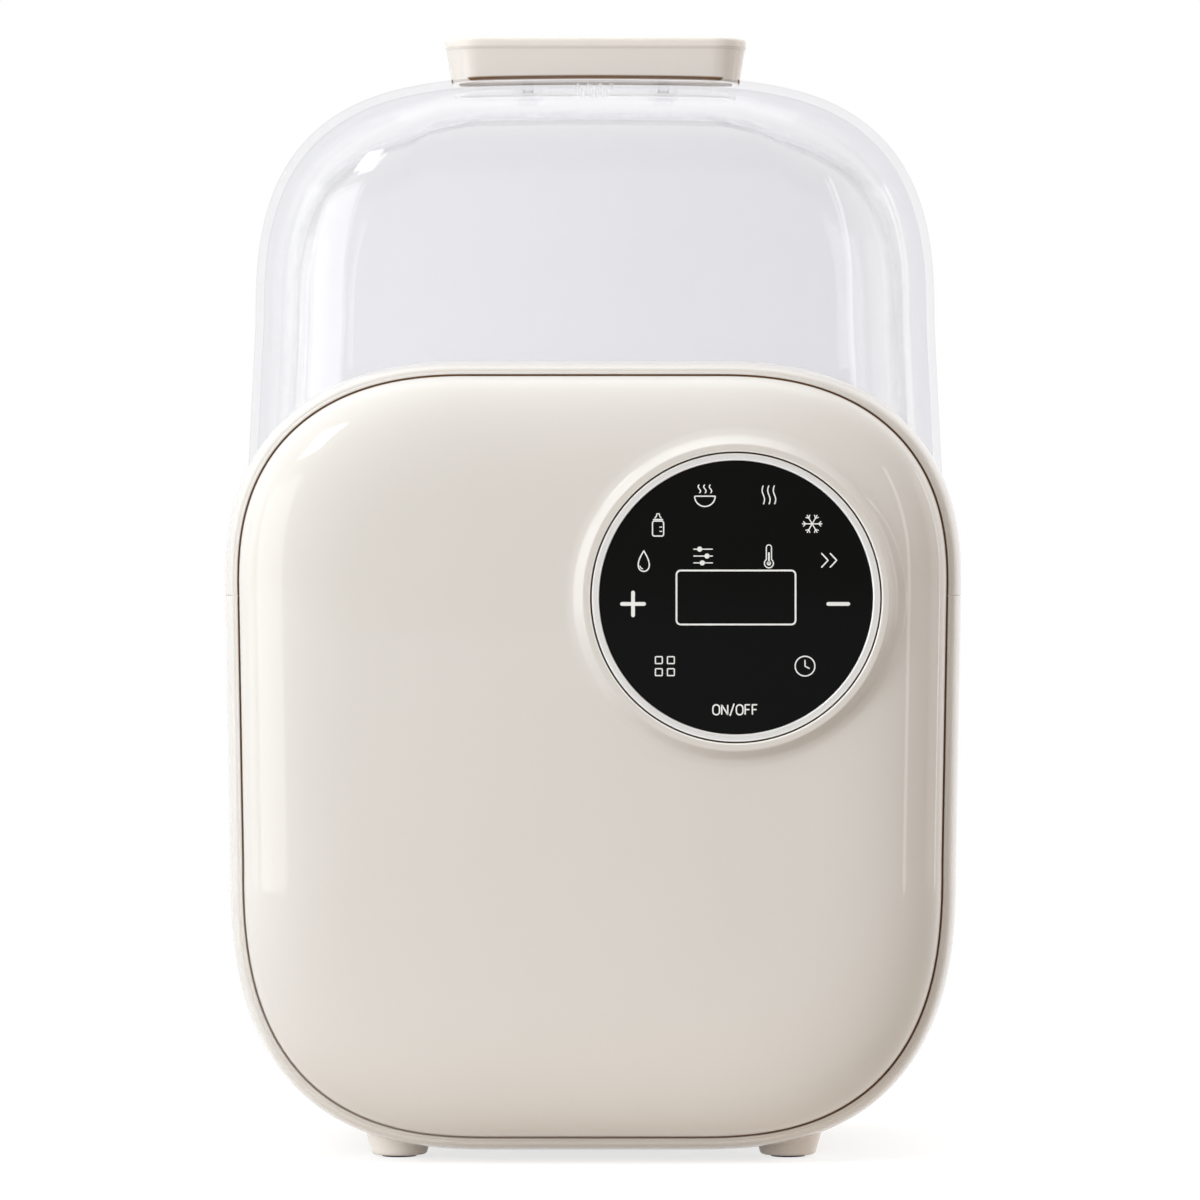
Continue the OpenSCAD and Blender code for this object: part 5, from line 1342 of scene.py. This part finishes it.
GRIP_Z, GRIP_R, BAR_R, POST_TOP = 177.0, 12.75, 1.2, 163.0
turn = np.linspace(0, 2 * np.pi, 96, endpoint=False)
out = np.stack([0 * turn, np.cos(turn), np.sin(turn)], axis=-1)
side_ways = np.broadcast_to([1.0, 0, 0], out.shape)
loop_grid = bar_rings(soft_box(2.5, 2.25, BAR_R), (0, Y_MID, GRIP_Z) + GRIP_R * out, side_ways, out)
heights = np.array([WELL_Z + 0.6, WELL_Z + 0.6, 120.0, POST_TOP, POST_TOP])
post_centre = np.stack([0 * heights, Y_MID + 0 * heights, heights], axis=-1)
deep = np.broadcast_to([0, 1.0, 0], post_centre.shape)
post_grid = bar_rings(soft_box(2.5, 6.0, BAR_R), post_centre, side_ways[:len(heights)], deep)
post_grid[[0, -1], :, :2] = (0, Y_MID)
leg = rounded([(0, 64.2), (3.0, 64.2), (4.0, 74.2), (0, 74.2)], (0.8, 0.3), 5)
parts = [lattice(loop_grid, True, True), lattice(post_grid)]
parts += [turned(leg, (x, Y_MID + y, 0), "up", 32) for x in (-WELL_X, WELL_X) for y in (-31, 31)]
print("grip and legs", len(parts))

# %% [markdown]
# A bridge between the wells carries the post. Its ends follow the round walls, so it is a stack of outlines
# whose sides are arcs. Then all parts become one mesh, as the basket is one moulding.

# %% Basket bridge and whole
BRIDGE_HY, BRIDGE_EDGE, BRIDGE_R = 12.0, 11.4, 42.2
bridge_z = np.array([WELL_Z + 0.01, WELL_Z + 0.01, WELL_Z + 0.8, WELL_TOP - 0.8, WELL_TOP, WELL_TOP])
bridge_y = np.array([BRIDGE_HY, BRIDGE_EDGE, BRIDGE_HY, BRIDGE_HY, BRIDGE_EDGE, 0.0])[:, None]
a = np.linspace(-1, 1, 17)
near = WELL_X - np.sqrt(BRIDGE_R ** 2 - (bridge_y * a) ** 2)
right = np.stack([near, Y_MID + bridge_y * a, bridge_z[:, None] + 0 * near], axis=-1)
bridge = np.concatenate([right, right[:, ::-1] * (-1, 1, 1)], axis=1)
bridge[[0, -1], :, :2] = (0, Y_MID)
basket = new_object("bottle_basket_frame", parts + [lattice(bridge)])
joined = bmesh.new()
for source in [basket] + wells:
    joined.from_mesh(source.data)
joined.to_mesh(basket.data)
joined.free()
for source in wells:
    bpy.data.objects.remove(source)
smooth(basket.data)
basket_white = moulded("white_plastic", (0.72, 0.725, 0.735), 0.33, grain=1000, peel=0.06)
dress(basket, "basket", "white_plastic", basket_white, "bottle_basket")

# %% [markdown]
# Four tapered feet carry rubber pads. Feet and pads are turned; the feet run up into the underside.

# %% Feet and pads
FEET = [(x, y, 0) for x in (-55.5, 55.5) for y in (-43.0, 46.0)]
PAD_R, PAD_H = 5.0, 1.6
foot_profile = rounded([(0, PAD_H), (PAD_R, PAD_H), (PAD_R, 0.6), (7.8, 0.6), (10.3, 9.6), (0, 9.6)],
                       (0.1, 0.15, 1.0, 0.4), 6)
pad_profile = rounded([(0, 0), (PAD_R, 0), (PAD_R, PAD_H), (0, PAD_H)], (0.4, 0.1), 5)
# The feet wear the paler cream, painted light for their shade under the body.
piece("feet_tapered", "base", "cream_matte", "feet", cream_foot_brightened,
      [turned(foot_profile, place, "up", 64) for place in FEET])
pad_rubber = moulded("pad_rubber", (0.035, 0.034, 0.034), 0.7, grain=1600, peel=0.25, cloud=0.1)
piece("feet_pads", "base", "pad_rubber", "foot_pads", pad_rubber,
      [turned(pad_profile, place, "up", 48) for place in FEET])

# %% [markdown]
# The rest of the CAD pieces keep their shape and get a finish by their slot: steel screws, boards with
# copper lines, leads, tape, ceramic and rubber. The handle's screws and washers are clear plastic, so that
# they hardly show through the lid.


# %% Finishes by slot
def board(name, colour):
    """Circuit board: solder mask with a grid of paler copper lines under it."""
    material, shader, place = new_finish(name, {"Roughness": 0.35})
    inks = {"Color1": shade(colour, 0.9), "Color2": shade(colour, 1.1), "Mortar": shade(colour, 1.9)}
    sizes = {"Vector": place, "Scale": 260.0, "Mortar Size": 0.02}
    feed(material.node_tree, shader.inputs["Base Color"], place.node("ShaderNodeTexBrick", {}, inks | sizes))
    return material


def steel(name, colour, rough, grain):
    """Plain metal: fine scratches in tone and gloss."""
    material, shader, place = new_finish(name, {"Metallic": 1.0})
    tree = material.node_tree
    scratches = place.noise(grain, 5.0)
    feed(tree, shader.inputs["Base Color"], scratches.blend(shade(colour, 0.85), shade(colour, 1.1)))
    feed(tree, shader.inputs["Roughness"], rough + (scratches - 0.5) * 0.2)
    return material


plastics = {
    "contact_rubber": ((0.10, 0.105, 0.11), 0.6), "ribbon_grey": ((0.55, 0.56, 0.58), 0.5),
    "transformer_tape": ((0.65, 0.5, 0.05), 0.35), "relay_blue": ((0.02, 0.09, 0.38), 0.35),
    "terminal_green": ((0.04, 0.2, 0.075), 0.45), "lead_brown": ((0.19, 0.08, 0.03), 0.45),
    "lead_red": ((0.42, 0.05, 0.04), 0.45), "fuse_ceramic": ((0.72, 0.69, 0.62), 0.55),
    "washer_silicone": ((0.62, 0.63, 0.65), 0.5),
    "black_plastic": ((0.016, 0.0165, 0.018), 0.42, 1500, 0.2, 0.15)}
metals = {"screw_steel": ((0.5, 0.5, 0.51), 0.35, 900.0), "pin_brass": ((0.6, 0.45, 0.17), 0.3, 700.0),
          "element_steel": ((0.32, 0.31, 0.30), 0.45, 300.0)}
boards = {"board_green": ((0.025, 0.11, 0.045),), "board_brown": ((0.15, 0.10, 0.025),)}
finishes = {"cream_gloss": cream_gloss, "cream_matte": cream_satin, "pad_rubber": pad_rubber,
            "ring_silver": ring_silver, "panel_black": panel_black, "white_plastic": basket_white,
            "tub_grey": tub_grey, "plate_steel": plate_steel, "seal_silicone": seal_red,
            "lid_clear": lid_clear}
for make, looks in ((moulded, plastics), (steel, metals), (board, boards)):
    finishes |= {name: make(name, *look) for name, look in looks.items()}
slot_of = {part["node"]: part["material_slot"] for part in frame["record"]["subparts"]}
stud_clear = clear("stud_clear", (0.96, 0.96, 0.965), 0.05, 1.06, 0.2)
by_node = {"handle_screws": stud_clear, "handle_washers": stud_clear}
for node, shape in frame["nodes"].items():
    if not shape.hide_render:
        shape.data.materials[0] = by_node.get(node, finishes[slot_of[node]])
print("finishes", len(finishes))

# %% [markdown]
# A pale floor under the product keeps its soft shadow. Near the product it is painted white; further out it
# turns into plain white light for camera, mirror and glass rays, so that it meets the white cove without a
# line. As a source of bounced light it is a little darker and warmer, which leaves the underside its shade.

# %% Floor
FLOOR_HALF, FLOOR_Z = 30000.0, -0.05
FLOOR_PAINT, FLOOR_GLOW = (0.36, 0.36, 0.36), 0.72
BOUNCE_NEAR, BOUNCE_FAR, NEAR_R, FAR_R = (0.74, 0.663, 0.578), (0.29, 0.255, 0.213), 90, 200
FADE_FROM, FADE_TO = 120, 420
sheet = np.array([[(-1, -1, 0), (1, -1, 0)], [(-1, 1, 0), (1, 1, 0)]]) * FLOOR_HALF + (0, 0, FLOOR_Z)
floor = new_object("floor", [lattice(sheet, False)])
matt = {"Roughness": 0.9, "Specular IOR Level": 0.0, "Emission Strength": FLOOR_GLOW}
floor_white, shader, place = new_finish("floor_white", matt)
tree = floor_white.node_tree
seen = ray_kinds(tree, "Camera", "Glossy", "Transmission")
away = place.node("ShaderNodeVectorMath", {"operation": "LENGTH"}, {0: place}, "Value")
bounce = ramp(away, FAR_R, NEAR_R).blend(BOUNCE_FAR, BOUNCE_NEAR)
feed(tree, shader.inputs["Base Color"], seen.blend(bounce, FLOOR_PAINT))
feed(tree, shader.inputs["Emission Color"], seen.blend(BLACK, WHITE))
fade = away.between(FADE_FROM * MM, FADE_TO * MM, settings={"interpolation_type": "SMOOTHSTEP"})
glow = Wire(tree, tree.nodes.new("ShaderNodeEmission").outputs[0])
to_surface(tree, (fade * seen).mixed(Wire(tree, shader.outputs[0]), glow))
floor.data.materials.append(floor_white)
print("floor ready")

# %% [markdown]
# Soft boxes: a broad tall one on the left draws the pale strip down the pillow and the lid, a small one
# over it the bright patch at the shoulder, slim ones on the right the lines there, and a bar above the line
# on the handle. The last six give light without a reflection, as flags and nets do in a studio. Their
# strength is plain: a colour renders about as written.

# %% Lamps
COOL, WARM = (0.83, 0.935, 1.0), (1.0, 0.97, 0.93)
AIM = Vector((0, -0.03, 0.16))


def softbox(name, turn, rise, away, width, height, level, colour=WHITE, mirrored=True):
    """Area lamp seen from the product at a turn and a rise in degrees, with a given level of brightness."""
    a, e = np.radians(turn), np.radians(rise)
    data = bpy.data.lights.new(name, "AREA")
    data.shape = "RECTANGLE"
    data.size, data.size_y = width, height
    data.color = colour
    data.energy = np.pi * width * height * level
    lamp = bpy.data.objects.new(name, data)
    lamp.location = AIM + Vector((np.sin(a) * np.cos(e), -np.cos(a) * np.cos(e), np.sin(e))) * away
    lamp.rotation_euler = (AIM - lamp.location).to_track_quat("-Z", "Y").to_euler()
    lamp.visible_camera = False
    lamp.visible_glossy = mirrored
    lamp.visible_transmission = mirrored
    scene.collection.objects.link(lamp)


softbox("key_left", -52.5, -3, 1.3, 0.74, 1.30, 2.0)
softbox("patch_left", -45, 39, 1.3, 0.28, 0.32, 8.0)
softbox("strip_right", 41.5, 2, 1.3, 0.07, 1.20, 2.8, WARM)
softbox("side_right", 102, 4, 1.3, 0.10, 1.20, 3.6, WARM)
softbox("veil_left", -86, 4, 1.3, 0.40, 1.20, 0.8)
softbox("veil_right", 82, 4, 1.3, 0.40, 1.20, 0.7, WARM)
softbox("bar_above", 0, 118, 1.3, 0.50, 0.03, 4.0)
softbox("panel_top", 0, 100, 1.0, 0.80, 0.55, 0.6)
softbox("soft_top", 0, 104, 1.0, 0.80, 0.55, 0.85, COOL, False)
softbox("panel_left", -108, 4, 1.3, 0.80, 1.20, 0.4, COOL, False)
softbox("panel_right", 128, 4, 1.3, 0.70, 1.20, 3.6, WHITE, False)
softbox("soft_left", -60, 8, 0.70, 0.35, 0.35, 4.1, COOL, False)
softbox("soft_front", -28, 0, 1.30, 0.50, 0.50, 1.8, COOL, False)
softbox("soft_above", -20, 62, 1.30, 0.90, 0.70, 2.7, COOL, False)
print("lamps", len(bpy.data.lights))
